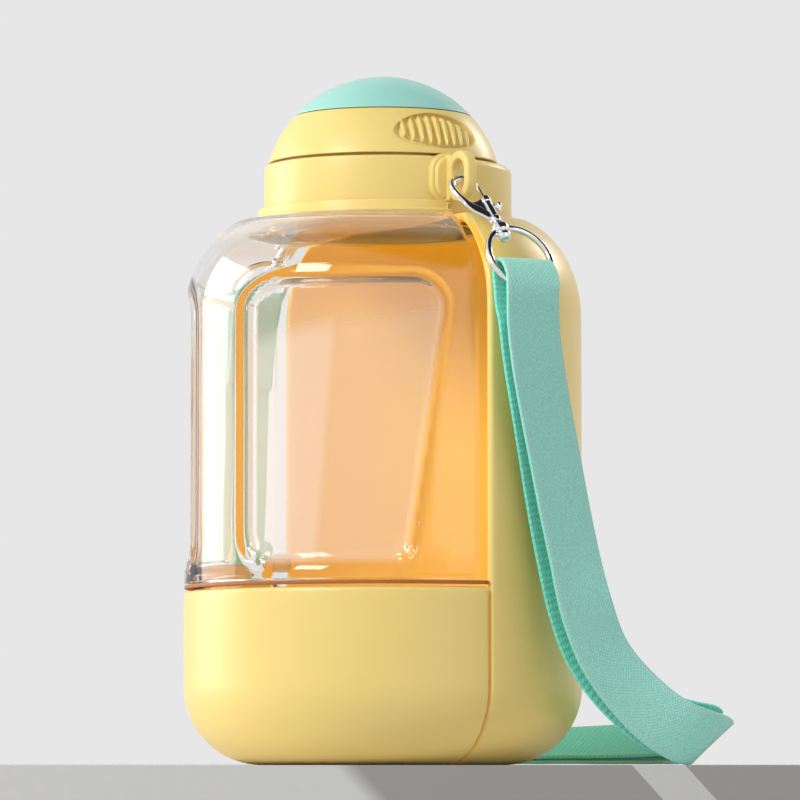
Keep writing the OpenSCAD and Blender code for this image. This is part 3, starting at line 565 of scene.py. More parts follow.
# A colour attribute named masks: red on the flat side and its corners, green where the painted light lies. In the
# windows the painted light is thin above a slanting line, and below the line it changes at a leaning edge, as painted
# patches of light.
def markFlask(thing):
    co = pointsOf(thing)
    radius, angle, high = np.hypot(co[:, 0], co[:, 1]), np.arctan2(co[:, 1], co[:, 0]), co[:, 2]
    flat = (co[:, 0] > -body["seam"] - flask["wall"] - flask["corner"]).astype(float)
    onSkin = radius > body["radius"] - windows["deep"] - 0.5
    side, reach = np.where(co[:, 1] > 0, 1, -1), windows["reach"]
    x = side * np.sin(np.clip(angle - side * np.radians(windows["direction"]), -reach, reach)) * body["radius"]
    line = paintedVeil["lineHigh"] - paintedVeil["lineSlope"] * (x - paintedVeil["lineFrom"])
    under = np.clip((line - high) / paintedVeil["lineSoft"] + 0.5, 0, 1)
    beside = x - paintedVeil["edge"] - paintedVeil["edgeLean"] * (paintedVeil["edgeFrom"] - high)
    beside = np.clip(beside / paintedVeil["edgeSoft"] + 0.5, 0, 1)
    share = paintedVeil["above"] + under * (paintedVeil["right"] - paintedVeil["above"] + beside * (paintedVeil["left"] - paintedVeil["right"]))
    window = windowDepth(angle, high) / windows["deep"] * onSkin * share
    shoulder = np.clip((high - paintedVeil["shoulderFrom"]) / paintedVeil["shoulderSoft"], 0, 1) * paintedVeil["shoulder"] * (1 - flat)
    colours = np.stack([flat, np.maximum(window, shoulder), 0 * flat, 0 * flat + 1], -1).astype(np.float32)
    thing.data.attributes.new("masks", "FLOAT_COLOR", "POINT").data.foreach_set("color", colours.ravel())


markFlask(addSurface("flaskShell", flaskShell(), clear, "bottle", ["tank"], cavity=True))
print("stage: flask done")

cup = {"top": 58.0, "wall": 2.8, "edge": 0.9, "innerEdge": 0.6}
bowl = {"wall": 2.6, "edge": 1.3, "innerEdge": 0.8, "notch": 41.8,
        "facet": {"wide": 7.5, "deep": 1.7, "from": 161.0, "grow": 5.0, "to": 180.0}}


# The bowl is the body's whole outline with a flat top up to the collar; the base cup is the outline up to its edge.
def bowlGrid():
    line, normal = bodyOutline(0, high=body["top"])
    line = np.vstack([line, [[(line[-1][0] + bowl["notch"]) / 2, body["top"]], [bowl["notch"] + 1.3, body["top"]]]])
    normal = np.vstack([normal, [[0, 1], [0, 1]]])
    return halfShell(line, normal, bowl["wall"], 1, bowl["edge"], bowl["innerEdge"], bowl["facet"])


def cupGrid():
    line, normal = bodyOutline(0, high=cup["top"] - cup["wall"] / 2)
    return halfShell(line, normal, cup["wall"], -1, cup["edge"], cup["innerEdge"])


markInside(addSurface("bowlShell", [bowlGrid()], bowlYellowPaintedGlow, "bowl", ["bowl"]), bowl["wall"])
addSurface("baseCup", [cupGrid()], yellow, "bottle", ["base_cup"])
print("stage: shells done")

collar = {"low": 181.2, "top": 199.7, "radius": 39.8, "bore": 36.5, "block": 3.8, "lowEdge": 0.6, "edge": 0.9,
          "blockEdge": 2.6}


# Collar: rows follow a rounded section, and columns go round a circle whose +X half is moved out by the block.
def collarGrid(half=97):
    angle = np.r_[np.linspace(-90, 90, half), np.linspace(90, 270, half)] * np.pi / 180
    onBlock = np.r_[np.ones(half), np.zeros(half)]
    low, top, radius, bore, soft = (collar[key] for key in ("low", "top", "radius", "bore", "lowEdge"))
    rows = [(radius - soft + soft * np.sin(t), low + soft - soft * np.cos(t), 1) for t in np.linspace(0, np.pi / 2, 5)]
    edge = collar["edge"] + (collar["blockEdge"] - collar["edge"]) * onBlock
    rows += [(radius - edge + edge * np.cos(t), top - edge + edge * np.sin(t), 1) for t in np.linspace(0, np.pi / 2, 9)]
    rows += [(bore + 0.4, top, 0), (bore + 0.12, top - 0.12, 0), (bore, top - 0.4, 0), (bore, low + 3, 0)]
    rows += [(bore, low, 0)]
    out = np.outer(onBlock * collar["block"], [1, 0, 0])
    return np.array([polar(r, angle, z) + out * moved for r, z, moved in rows])


addSurface("collarRing", [looped(collarGrid())], yellow, "bottle", ["collar"])


# A loop round a slot: two half circles of that radius, whose middles are half above and below.
def slotLoop(radius, half, count=64):
    angle = turns(count) + np.pi / count
    return np.stack([radius * np.cos(angle), radius * np.sin(angle) + half * np.sign(np.sin(angle))], -1)


eye = {"y": 48.5, "z": 192.3, "hole": 3.7, "rim": 2.9, "straight": 3.5, "thick": 3.8, "round": 0.45, "padRadius": 6.6,
       "padHalf": 1.9, "padStep": 1.4, "webHigh": 7.4, "webStart": 0.7, "webWiden": 1.1, "out": 0.9}


# Eye: the pad's stepped oval, the plate's rim carried round the slot's line, and the web that widens from the rim to
# the collar. The far one is turned half round.
def strapEye(sign):
    pads, rims, webs = [], [], []
    step = eye["padRadius"] - eye["padStep"]
    for r, y in rounded([(eye["padRadius"], -3, 0), (eye["padRadius"], 1.6, 0.5), (step, 1.6, 0.3), (step, 2.8, 0.5),
                         (0.01, 2.8, 0)], 4):
        loop = slotLoop(r, eye["padHalf"])
        pads.append(np.stack([loop[:, 0], np.full(len(loop), -collar["radius"] - y), loop[:, 1] + eye["z"]], -1))
    width = eye["rim"] / 2
    for a, b in boxSection(eye["round"], 7):
        loop = slotLoop(eye["hole"] + width + a * width, eye["straight"] / 2)
        x = np.full(len(loop), b * eye["thick"] / 2)
        rims.append(np.stack([x, loop[:, 0] - eye["y"] - eye["out"], loop[:, 1] + eye["z"]], -1))
    box = boxSection(0.3, 5)
    start = -eye["y"] + eye["hole"] + eye["webStart"]
    reach = eye["y"] - eye["hole"] - eye["webStart"] - collar["radius"] + 0.5
    for t in np.linspace(0, 1, 7):
        half = eye["thick"] / 2 - 0.25 + eye["webWiden"] * t ** 3
        high = eye["z"] + box[:, 1] * (eye["webHigh"] + 0.8 * t ** 2)
        webs.append(np.stack([box[:, 0] * half, np.full(len(box), start + t * reach), high], -1))
    turned = [-sign, -sign, 1]
    return [np.array(rows) * turned for rows in (pads, rims, webs)]


for side, sign in (("near", -1), ("far", 1)):
    pad, rim, web = strapEye(sign)
    addSurface("eyePad_" + side, [capped(pad)], yellow, "bottle")
    addSurface("eyeRim_" + side, [looped(rim)], yellow, "bottle")
    addSurface("eyeWeb_" + side, [capped(web)], yellow, "bottle")


# A half ring on the flask's side, from a closed section of (radius, height, corner) points, with its ends closed.
def halfRing(corners, steps):
    section = rounded(corners, steps)
    grid = lathe(section, np.linspace(np.pi / 2, 3 * np.pi / 2, 121)) - [body["seam"], 0, 0]
    grids = [(grid, True, False)]
    for end in (grid[:, 0], grid[:, -1]):
        grids.append((np.stack([end, np.repeat(end.mean(0)[None], len(section), 0)], 1), True, False))
    return grids


flange = [(40.0, 180.8, 0), (43.3, 180.8, 0.68), (43.3, 182.2, 0.68), (41.6, 182.2, 0.3), (41.6, 185.0, 0.6),
          (40.0, 185.0, 0)]
seal = [(63.6, 58.3, 0), (65.9, 58.3, 0.2), (65.9, 59.5, 0.2), (63.6, 59.5, 0)]
addSurface("flangeRing", halfRing(flange, 5), yellow, "bottle", ["tank_flange"])
addSurface("sealLine", halfRing(seal, 3), sealRubber, "bottle", ["base_seal"])
print("stage: collar done")

neck = {"radius": 33.0, "wall": 2.6, "low": 178.4, "top": 200.5, "threadLow": 189.5, "threadTurns": 2.2, "pitch": 3.6,
        "bead": 0.38}


# Neck: a tube with a rounded rim, and a thread that winds up it as a small bead.
def neckPieces():
    r, wall, low, top = neck["radius"], neck["wall"], neck["low"], neck["top"]
    corners = [(r - wall, low, 0), (r, low, 0.1), (r, top, 0.6), (r - wall, top, 0.6), (r - wall, low, 0)]
    turn = np.linspace(0, 2 * np.pi * neck["threadTurns"], 220)
    path = polar(r - 0.15, turn, neck["threadLow"] + turn / (2 * np.pi) * neck["pitch"])
    size = neck["bead"] * np.clip(np.minimum(turn, turn[-1] - turn) / 0.3, 0.05, 1)
    return looped(lathe(rounded(corners, 5)[:-1], turns(180))), capped(tube(path, size, 10, up=(0, 0, 1)))


for name, grid in zip(("neckTube", "neckThread"), neckPieces()):
    addSurface(name, [grid], clear, "bottle")

dome = {"radius": 39.8, "centre": 190.2, "lip": 200.7, "lid": 216.4, "wall": 2.4, "lipEdge": 0.35, "topEdge": 0.4,
        "lidEdge": 0.45, "lidGap": 0.3}
grips = {"wide": 30.5, "high": 13.8, "deep": 2.1, "ribs": 9, "spread": 0.9, "leaf": 0.27, "long": 0.86, "lean": -5.0,
         "up": 0.53}
hinge = {"x": 28.66, "z": 214.6, "radius": 1.9, "knuckleHalf": 3.8, "earOut": 8.3}


# Depth pressed into the dome at a place: an oval, less the leaves that stand in it. Two of them, on +Y and -Y.
def gripDepth(azimuth, height):
    tilt = np.arcsin((dome["lip"] + (dome["lid"] - dome["lip"]) * grips["up"] - dome["centre"]) / dome["radius"])
    latitude = np.arcsin(np.clip((height - dome["centre"]) / dome["radius"], -1, 1))
    lean, pitch = np.radians(grips["lean"]), grips["wide"] * grips["spread"] / grips["ribs"]
    total = 0
    for side in (1, -1):
        turn = np.mod(azimuth - side * np.pi / 2 + np.pi, 2 * np.pi) - np.pi
        x = np.sin(turn) * np.cos(latitude) * dome["radius"]
        y = (np.sin(latitude) * np.cos(tilt) - np.cos(latitude) * np.cos(turn) * np.sin(tilt)) * dome["radius"]
        oval = np.hypot(x / (grips["wide"] / 2), y / (grips["high"] / 2))
        press = sCurve((1.03 - oval) / 0.09) * grips["deep"]
        u, v = x * np.cos(lean) + y * np.sin(lean), y * np.cos(lean) - x * np.sin(lean)
        index = np.clip(np.round(u / pitch), -(grips["ribs"] // 2), grips["ribs"] // 2)
        room = np.sqrt(np.maximum(1 - (2 * index * pitch / grips["wide"]) ** 2, 0.05))
        length = grips["high"] * grips["long"] * room / 2
        width = pitch * grips["leaf"] * np.maximum(1 - (v / length) ** 2, 0) ** 0.8
        rise = sCurve((width - np.abs(u - index * pitch)) / 0.7 + 0.5) * (np.abs(v) < length) * (grips["deep"] - 0.15)
        total = total + np.where(np.abs(turn) < 1.2, np.maximum(press - rise * (press > 0.02), 0), 0)
    return total


# The radius of the dome's sphere at a height, drawn in by the wall for its inside.
def domeRadius(height, wall=0.0):
    return np.sqrt(np.maximum((dome["radius"] - wall) ** 2 - (height - dome["centre"]) ** 2, 0))


# Rows go up the sphere from the lip to the parting line and down inside; columns go round, closer at the grips. Near
# the hinge the ring is cut down to make room for the knuckle.
def domeRing():
    base = np.linspace(-0.5, 0.5, 300)
    dense = np.sign(base) * np.abs(base * 2) ** 1.6 / 2 * np.pi
    azimuth = np.r_[dense + np.pi / 2, dense[1:-1] + 3 * np.pi / 2]
    low, high = np.linspace(0, np.pi / 2, 4), np.linspace(0, np.pi / 2, 5)
    heights = np.r_[dome["lip"] + dome["lipEdge"] * (1 - np.cos(low)),
                    np.linspace(dome["lip"] + 0.5, dome["lid"] - 0.5, 120),
                    dome["lid"] - dome["topEdge"] + dome["topEdge"] * np.sin(high)]
    radius = domeRadius(heights)
    radius[:4] -= dome["lipEdge"] * (1 - np.sin(low))
    radius[-5:] -= dome["topEdge"] * (1 - np.cos(high))
    a, z = np.meshgrid(azimuth, heights)
    skin = polar(radius[:, None] - gripDepth(a, z), a, z)
    insideZ = np.linspace(dome["lid"], dome["lip"], 12)
    inside = polar(domeRadius(insideZ, dome["wall"])[:, None], azimuth, insideZ[:, None])
    ring = np.concatenate([skin, inside])
    slot = (np.abs(ring[..., 1]) < hinge["knuckleHalf"] + 0.35) & (ring[..., 0] > 0)
    ring[..., 2] = np.where(slot, np.minimum(ring[..., 2], hinge["z"] - hinge["radius"] - 0.25), ring[..., 2])
    return ring


addSurface("domeRing", [looped(domeRing())], yellow, "cap", ["cap_shell"])
dimple = {"x": -24.0, "above": 5.2, "radius": 11.0}


# The dome's top: a sphere's cap with a rounded lower edge, a fingertip's dimple on the -X side, and its inside. A round
# ball over the dimple pushes the skin out of its way, and the hinge's side is cut straight.
def lidGrid():
    edge, low, top = np.linspace(0, np.pi / 2, 5), dome["lid"] + dome["lidGap"], dome["centre"] + dome["radius"]
    heights = np.r_[low + dome["lidEdge"] * (1 - np.cos(edge)), np.linspace(dome["lid"] + 1.0, dome["lid"] + 9, 40)]
    heights = np.r_[heights, top - (top - heights[-1]) * (1 - np.linspace(0, 1, 60)[1:]) ** 2]
    radius = domeRadius(heights)
    radius[:5] -= dome["lidEdge"] * (1 - np.sin(edge))
    azimuth = turns(240)
    skin = polar(radius[:, None], azimuth, heights[:, None])
    away = skin - np.array([dimple["x"], 0.0, top + dimple["above"]])
    distance = np.linalg.norm(away, axis=-1, keepdims=True)
    skin = skin + away / distance * np.maximum(dimple["radius"] - distance, 0)
    insideZ = np.linspace(top - dome["wall"], low, 24)
    inside = polar(domeRadius(insideZ, dome["wall"])[:, None], azimuth, insideZ[:, None])
    lid = np.concatenate([skin, inside])
    cut = (np.abs(lid[..., 1]) < hinge["earOut"] + 0.4) & (lid[..., 0] > 0)
    lid[..., 0] = np.where(cut, np.minimum(lid[..., 0], hinge["x"] - 2.6), lid[..., 0])
    return lid


addSurface("flipLidTop", [looped(lidGrid())], mint, "lid", ["flip_lid"])


# Hinge: round knuckles along Y between two places, and the lid's arm as a rounded box bent up to the lid.
def alongY(start, end):
    radius = hinge["radius"]
    bar = lathe(rounded([(0, start, 0), (radius, start, 0.3), (radius, end, 0.3), (0, end, 0)], 4), turns(40))
    return around(np.stack([hinge["x"] + bar[..., 0], bar[..., 2], hinge["z"] + bar[..., 1]], -1))


def lidArm():
    path = np.array([[0.2, 1.2], [-1.4, 1.3], [-2.8, 1.7], [-3.6, 3.0], [-3.8, 4.6]]) + [hinge["x"], hinge["z"]]
    path = smoothLine(np.stack([path[:, 0], 0 * path[:, 0], path[:, 1]], -1), 24)
    box = boxSection(0.3, 4)
    over = np.cross(unit(np.gradient(path, axis=0)), [0, 1.0, 0])
    wide = box[None, :, :1] * np.array([0, hinge["knuckleHalf"], 0])
    return capped(path[:, None] + wide + 0.75 * box[None, :, 1:] * over[:, None])


addSurface("hingeKnuckle", [alongY(-hinge["knuckleHalf"], hinge["knuckleHalf"])], mint, "lid")
addSurface("lidArm", [lidArm()], mint, "lid")
for side, sign in (("near", -1), ("far", 1)):
    ends = sorted((sign * (hinge["knuckleHalf"] + 0.3), sign * hinge["earOut"]))
    addSurface("hingeEar_" + side, [alongY(*ends)], yellow, "cap")
print("stage: dome done")

hook = {"at": (4.4, -65.8, 173.4), "arc": 5.0, "arcHeight": 19.2, "wire": 1.15, "barrel": 2.0, "barrelLow": 3.4,
        "barrelTop": 15.0, "gate": 0.72, "gateTop": 20.4, "knob": 11.3, "knobRadius": 1.95, "post": 1.05,
        "webHalf": 0.7,
        "stem": [(-9.9, 0, 17.4), (-9.2, 0, 15.2), (-7.2, 0, 11.8), (-5.0, 0, 9.6), (-2.9, 0, 7.8), (-1.2, 0, 6.0)]}
ring = {"radius": 11.6, "wire": 1.1, "lean": 30.0, "turn": 21.0}
hookLean = math.atan2(-eye["y"] - hook["at"][1], eye["z"] - hook["at"][2])


# The swivel's place on one side; the far one is the near one turned half round.
def atSwivel(sign):
    return Matrix.Rotation(0 if sign < 0 else math.pi, 4, "Z") @ Matrix.Translation(hook["at"])


def zLathe(corners, steps, sides=40):
    return lathe(rounded(corners, steps), turns(sides))


# Arm: an oval bar along an arc and a stem that flattens and widens towards the barrel.
def hookArm():
    arc, high, wire = hook["arc"], hook["arcHeight"], hook["wire"]
    angle = np.radians(np.linspace(18, 180, 44))
    bend = np.stack([-arc + arc * np.cos(angle), 0 * angle, high + arc * np.sin(angle)], -1)
    path = smoothLine(np.vstack([bend, np.array(hook["stem"], float)]), 110)
    share = np.linspace(0, 1, 110)
    wide = np.interp(share, [0, 0.03, 0.1, 0.55, 0.68, 0.82, 1], [0.5, 0.95, wire, wire, 1.25, 2.3, 2.0])
    deep = np.interp(share, [0, 0.03, 0.1, 0.55, 0.75, 1], [0.5, 0.95, wire, wire, 0.8, 1.0])
    return capped(tube(path, wide, 28, depths=deep))[0]


# Web: a thin rounded plate between the stem and the barrel, from a low line to a high one.
def hookWeb():
    x, box = np.linspace(-7.4, 0.3, 24), boxSection(0.3, 4)
    under = np.interp(x, [-7.4, -4, -1.5, 0.3], [11.2, 7.6, 4.9, 4.2])
    over = np.interp(x, [-7.4, -5.8, -3.8, -2.0, 0.3], [12.6, 12.3, 12.9, 14.2, 14.8])
    height = (under + over)[:, None] / 2 + (over - under)[:, None] / 2 * box[:, 1]
    return capped(np.stack([x[:, None] + 0 * box[:, 0], hook["webHalf"] * box[:, 0] + 0 * x[:, None], height], -1))[0]


# Turned profiles, in the hook's frame with Z up the barrel: the barrel with two beads, the post, the gate's pin, the
# knob on its stalk along X, and the swivel with the rivet that holds the ring.
def hookPieces(sign):
    low, top, r, gate = hook["barrelLow"], hook["barrelTop"], hook["barrel"], hook["gate"]
    waist, post, wideKnob = r - 0.25, hook["post"], hook["knobRadius"]
    barrel = zLathe([(0, low, 0), (r - 0.3, low, 0.3), (r, low + 1.0, 0.4), (r, low + 1.8, 0.2),
                     (waist, low + 2.2, 0.2), (waist, top - 2.6, 0.2), (r, top - 2.2, 0.2), (r, top, 0.45),
                     (gate + 0.15, top, 0.1), (gate + 0.15, top - 1.0, 0), (0, top - 1.0, 0)], 4)
    rod = zLathe([(0, 1.4, 0), (post, 1.4, 0.1), (post, low + 0.4, 0), (0, low + 0.4, 0)], 2)
    pin = zLathe([(0, top - 2.4, 0), (gate, top - 2.4, 0.05), (gate, hook["gateTop"], 0.35),
                  (0, hook["gateTop"], 0)], 4, 24)
    knob = zLathe([(0, 0, 0), (0.6, 0, 0), (0.6, r + 0.9, 0.15), (wideKnob, r + 0.9, 0.5), (wideKnob, r + 2.6, 0.8),
                   (0, r + 2.8, 0)], 5, 32)
    knob = placed(knob, Matrix.Translation((0, 0, hook["knob"])) @ Matrix.Rotation(math.pi / 2, 4, "Y"))
    swivel = zLathe([(0, -4.6, 0), (1.5, -4.6, 0.7), (2.35, -3.5, 0.9), (2.35, -2.4, 0.6), (1.9, -1.7, 0.2),
                     (2.9, -1.4, 0.4), (2.9, 0.9, 0.4), (2.3, 1.5, 0.3), (2.1, 2.6, 0.4), (0, 2.7, 0)], 5)
    matrix = atSwivel(sign) @ Matrix.Rotation(-hookLean, 4, "X")
    pieces = (("hookArm", hookArm(), "hook", True), ("hookWeb", hookWeb(), "hook", False),
              ("hookBarrel", barrel, "hook", False), ("hookPost", rod, "hook", False), ("gatePin", pin, "gate", True),
              ("gateKnob", knob, "gate", False), ("swivelBody", swivel, "swivel", True))
    return [(name, around(placed(grid, matrix)), bodyName, stands) for name, grid, bodyName, stands in pieces]


# A torus, leaning out from the vertical and turned so that the swivel holds it a little off its top.
def ringGrid(sign):
    turn, size, angle = math.radians(ring["turn"]), ring["radius"], turns(120)
    matrix = (atSwivel(sign) @ Matrix.Rotation(-math.radians(ring["lean"]), 4, "X")
              @ Matrix.Translation((size * math.sin(turn), 0, -size * math.cos(turn))))
    path = np.stack([size * np.cos(angle), 0 * angle, size * np.sin(angle)], -1)
    return looped(placed(tube(path, ring["wire"], 24, closed=True), matrix))


for side, sign in (("near", -1), ("far", 1)):
    for name, grid, bodyName, stands in hookPieces(sign):
        bodyName = bodyName + "_" + side
        addSurface(name + "_" + side, [grid], steel, bodyName, [bodyName] if stands else ())
    addSurface("wireRing_" + side, [ringGrid(sign)], steel, "bottle", ["ring_" + side])
print("stage: hooks done")

# Each row is a point of the webbing's middle line and the direction of its width. The back layer starts inside the near
# ring and then follows the front one from its row backFrom on, that far behind it, to the slider.
strapRoute = np.array([
    [8.5, -72, 162.7, 1, 0.02, 0], [8.5, -73.9, 163, 1, 0.02, 0], [8.5, -75.9, 161.8, 1, 0.02, 0],
    [8.4, -78.7, 157.6, 1, 0.02, 0], [7.6, -80.1, 152.4, 1, 0.02, 0], [8.4, -79.2, 142, 1, 0.03, 0],
    [10.6, -78.2, 130, 1, 0.04, 0], [14, -77, 116.8, 1, 0.05, 0], [18.2, -76, 101, 1, 0.05, 0],
    [22, -75.6, 85.2, 1, 0.05, 0], [25.8, -75.8, 69.2, 1, 0.05, 0.02], [29.4, -77.1, 52.8, 0.99, -0.02, 0.1],
    [34.6, -77.5, 39.3, 0.94, 0.01, 0.34], [39.8, -78.3, 31, 0.85, 0.01, 0.5], [46.4, -79.4, 23.6, 0.75, -0.04, 0.62],
    [54.6, -80.9, 16.2, 0.62, -0.14, 0.72], [62.4, -81.6, 11.6, 0.5, -0.24, 0.78], [70.6, -80.8, 8.6, 0.48, -0.29, 0.74],
    [78.7, -76.4, 7.2, 0.58, -0.24, 0.66], [85.5, -67.6, 6.4, 0.7, -0.12, 0.6], [90.9, -54.5, 5.8, 0.73, 0.08, 0.55],
    [94.2, -37.7, 5.4, 0.7, 0.34, 0.5], [94.5, -18, 5, 0.63, 0.55, 0.46], [91, 2.9, 4.8, 0.55, 0.67, 0.44],
    [82.9, 24.3, 4.6, 0.5, 0.72, 0.42], [73, 44.5, 4.2, 0.47, 0.77, 0.38], [62, 62.9, 3.2, 0.49, 0.8, 0.26],
    [45, 84.8, 1.1, 0.2, 1, 0.01], [35, 88, 0.95, 0, 1, 0], [30.4, 88, 0.95, 0, 1, 0],
    [26.4, 88, 1.15, 0, 1, 0], [23, 88, 5, 0, 1, 0], [20, 88, 5.8, 0, 1, 0],
    [17, 88, 5, 0, 1, 0], [13.6, 88, 1.15, 0, 1, 0], [9.6, 88, 0.95, 0, 1, 0],
    [4, 88.6, 2, 0.2, 1, 0.06], [-1.6, 89.4, 5.4, 0.5, 1, 0.3], [-5.8, 88.8, 11, 0.8, 0.8, 0.4],
    [-8.8, 86.6, 20, 1, 0.5, 0.3], [-10.4, 83.4, 36, 1, 0.26, 0.08], [-10.8, 81, 60, 1, 0.14, 0],
    [-10.4, 80.2, 90, 1, 0.06, 0], [-9.6, 80, 122, 1, 0.02, 0], [-9, 79.6, 142, 1, 0.02, 0],
    [-8.6, 80.1, 152.4, 1, 0.02, 0], [-8.5, 78.7, 157.6, 1, 0.02, 0], [-8.5, 75.9, 161.8, 1, 0.02, 0],
    [-8.5, 73.9, 163, 1, 0.02, 0], [-8.5, 71.7, 162.6, 1, 0.02, 0], [-8.5, 70.9, 161, 1, 0.02, 0],
    [-8.5, 71.4, 157, 1, 0.02, 0], [-8.5, 74.2, 150, 1, 0.02, 0], [-8.5, 76.8, 143, 1, 0.02, 0],
    [-9.4, 77.8, 130, 1, 0.02, 0]])
backStart = np.array([
    [8.5, -71.3, 162.1, 1, 0.02, 0], [8.5, -70.4, 161, 1, 0.02, 0], [8.5, -70.2, 158.4, 1, 0.02, 0],
    [8.4, -71.2, 153.6, 1, 0.02, 0], [8, -72.8, 147.4, 1, 0.02, 0]])
backGap = np.array([5, 4.6, 4.6, 5.4, 6.2, 6.8, 7.2, 7, 6.4, 6, 6, 6.2,
                    6, 5.6, 5, 4.2, 3.4, 2.8, 2.4, 2.1, 1.9, 1.9, 1.9, 1.9, 2.1])
backFrom = 5
sliderEnd = [20 + 8.4 + 1.7, 88, 3.2, 0, 1, 0]


# Direction along, across and out of the webbing at each point of a route.
def strapFrames(route):
    p = route[:, :3]
    along = unit(np.gradient(p, axis=0))
    across = route[:, 3:] - (route[:, 3:] * along).sum(1, keepdims=True) * along
    across = unit(across)
    return p, along, across, np.cross(along, across)


# The route with each point high enough for the lower edge to clear the ground.
def lifted(route):
    p, along, across, out = strapFrames(route)
    reach = (strap["wide"] * np.abs(across[:, 2]) + strap["thick"] * np.abs(out[:, 2])) / 2 + strap["clear"]
    made = route.copy()
    made[:, 2] = np.maximum(p[:, 2], reach)
    return made


# The webbing's rounded cross-section carried along the route, as a closed piece; u runs along it and v across it, in
# metres. Its middle line and its length follow, in mm.
def ribbon(route, rows):
    p, _, across, out = strapFrames(smoothLine(route, rows))
    corners = boxSection(strap["soft"], 4, strap["wide"] / 2, strap["thick"] / 2)
    section = []
    for a, b in zip(corners, np.roll(corners, -1, 0)):
        steps = max(int(np.linalg.norm(b - a) / 1.1), 1)
        section.append(a + (b - a) * np.linspace(0, 1, steps, endpoint=False)[:, None])
    section = np.vstack(section)
    grid = p[:, None] + section[None, :, :1] * across[:, None] + section[None, :, 1:] * out[:, None]
    length = np.r_[0, np.cumsum(np.linalg.norm(np.diff(p, axis=0), axis=1))]
    uv = np.stack(np.broadcast_arrays(length[:, None] * mm, section[None, :, 0] * mm), -1)
    return capped(grid), np.concatenate([uv[:1], uv, uv[-1:]]), p, length[-1]


front = lifted(lifted(strapRoute))
p, _, _, out = strapFrames(front)
index = np.arange(len(backGap)) + backFrom
behind = np.concatenate([p[index] - backGap[:, None] * out[index], front[index, 3:]], 1)
back = np.vstack([backStart, behind, [sliderEnd]])
for name, node, route, rows, finish in (("strapFront", "strap_front", front, 700, webbing),
                                        ("strapBack", "strap_back", back, 420, webbingBack)):
    grid, uv, path, length = ribbon(route, rows)
    piece = addSurface(name, [grid], finish, "bottle", [node], uv, 1e-7)
    print("stage: strap done", name, round(length))

# The CAD's own nodes: the steel ones show as they are, and so do the cap's core, gasket and plug.
plain = {"cap_core": yellow[0], "cap_gasket": silicone, "spout_plug": silicone, "cap_shell": yellow[0],
         "flip_lid": mint[0], "tank": clear[0], "base_cup": yellow[0], "base_seal": sealRubber[0],
         "tank_flange": yellow[0], "collar": yellow[0], "bowl": yellow[0], "strap_front": webbing[0],
         "strap_back": webbingBack[0]}
for name, thing in nodes.items():
    thing.data.materials.clear()
    thing.data.materials.append(plain.get(name, steel[0]))

# The camera looks along the depth, and right is its right, both level.
view = math.radians(look["azimuth"])
depth = np.array([-math.sin(view), math.cos(view), 0.0])
right = np.array([math.cos(view), math.sin(view), 0.0])
stage = {"edge": 72.0, "slant": 0.9, "shadowStart": -0.016, "shadowEnd": -0.008, "patch": 0.088, "patchHalf": 0.0085,
         "patchShare": 0.8, "lit": (0.62, 0.62, 0.61), "shade": (0.31, 0.305, 0.295), "topDark": (0.76, 0.76, 0.76),
         "topPale": (0.80, 0.80, 0.80), "speck": (0.2, 0.2, 0.2), "speckShare": 0.08, "grain": 300.0, "backdrop": 0.80,
         "surround": 0.60, "darkSide": tuple(unit(right * 0.35 + np.array([0, 0, 1.0]))), "darkFrom": 0.70,
         "darkFull": 0.80, "darkness": 0.97, "wide": 2.0, "far": 1.6}


# Table: pale grey with a faint grain; its front face is painted darker than the top as shade, with a painted shadow
# towards the right and a slanted painted patch of light.
def tablePaint(name, front):
    made, tree, shader = newMaterial(name)
    place = objectPlace(tree)
    grain = noise(tree, place, stage["grain"])
    if front:
        along = addNode(tree, "VectorMath", {0: place, 1: tuple(right)}, operation="DOT_PRODUCT").outputs["Value"]
        high = addNode(tree, "SeparateXYZ", {0: place}).outputs["Z"]
        across = calc(tree, "MULTIPLY_ADD", high, stage["slant"], along)
        # Painted shadow: the front turns from the lit grey to the shade grey past a slanted line; the patch is a
        # painted band of light.
        dark = ramp(tree, across, stage["shadowStart"], stage["shadowEnd"], 0.0, 1.0)
        patch = calc(tree, "ABSOLUTE", calc(tree, "SUBTRACT", across, stage["patch"]))
        patch = calc(tree, "MULTIPLY", calc(tree, "LESS_THAN", patch, stage["patchHalf"]), stage["patchShare"])
        tone = mixed(tree, patch, mixed(tree, dark, stage["lit"], stage["shade"]), stage["lit"])
        tone = mixed(tree, calc(tree, "MULTIPLY", grain, stage["speckShare"]), tone, stage["speck"])
    else:
        tone = mixed(tree, grain, stage["topDark"], stage["topPale"])
    feed(tree, shader, {"Roughness": 0.55, "Base Color": tone})
    return made


def flatPiece(name, corners, front):
    mesh = bpy.data.meshes.new(name)
    mesh.from_pydata([tuple(c) for c in corners], [], [tuple(range(len(corners)))])
    thing = bpy.data.objects.new(name, mesh)
    mesh.materials.append(tablePaint(name, front))
    bpy.context.scene.collection.objects.link(thing)


leftEdge, rightEdge = [-depth * stage["edge"] * mm + right * stage["wide"] * sign for sign in (-1, 1)]
far, below = depth * stage["far"], np.array([0, 0, -1.0])
flatPiece("tableTop", [leftEdge, rightEdge, rightEdge + far, leftEdge + far], False)
flatPiece("tableFront", [leftEdge + below, rightEdge + below, rightEdge, leftEdge], True)
bpy.context.scene.view_settings.view_transform = "Standard"


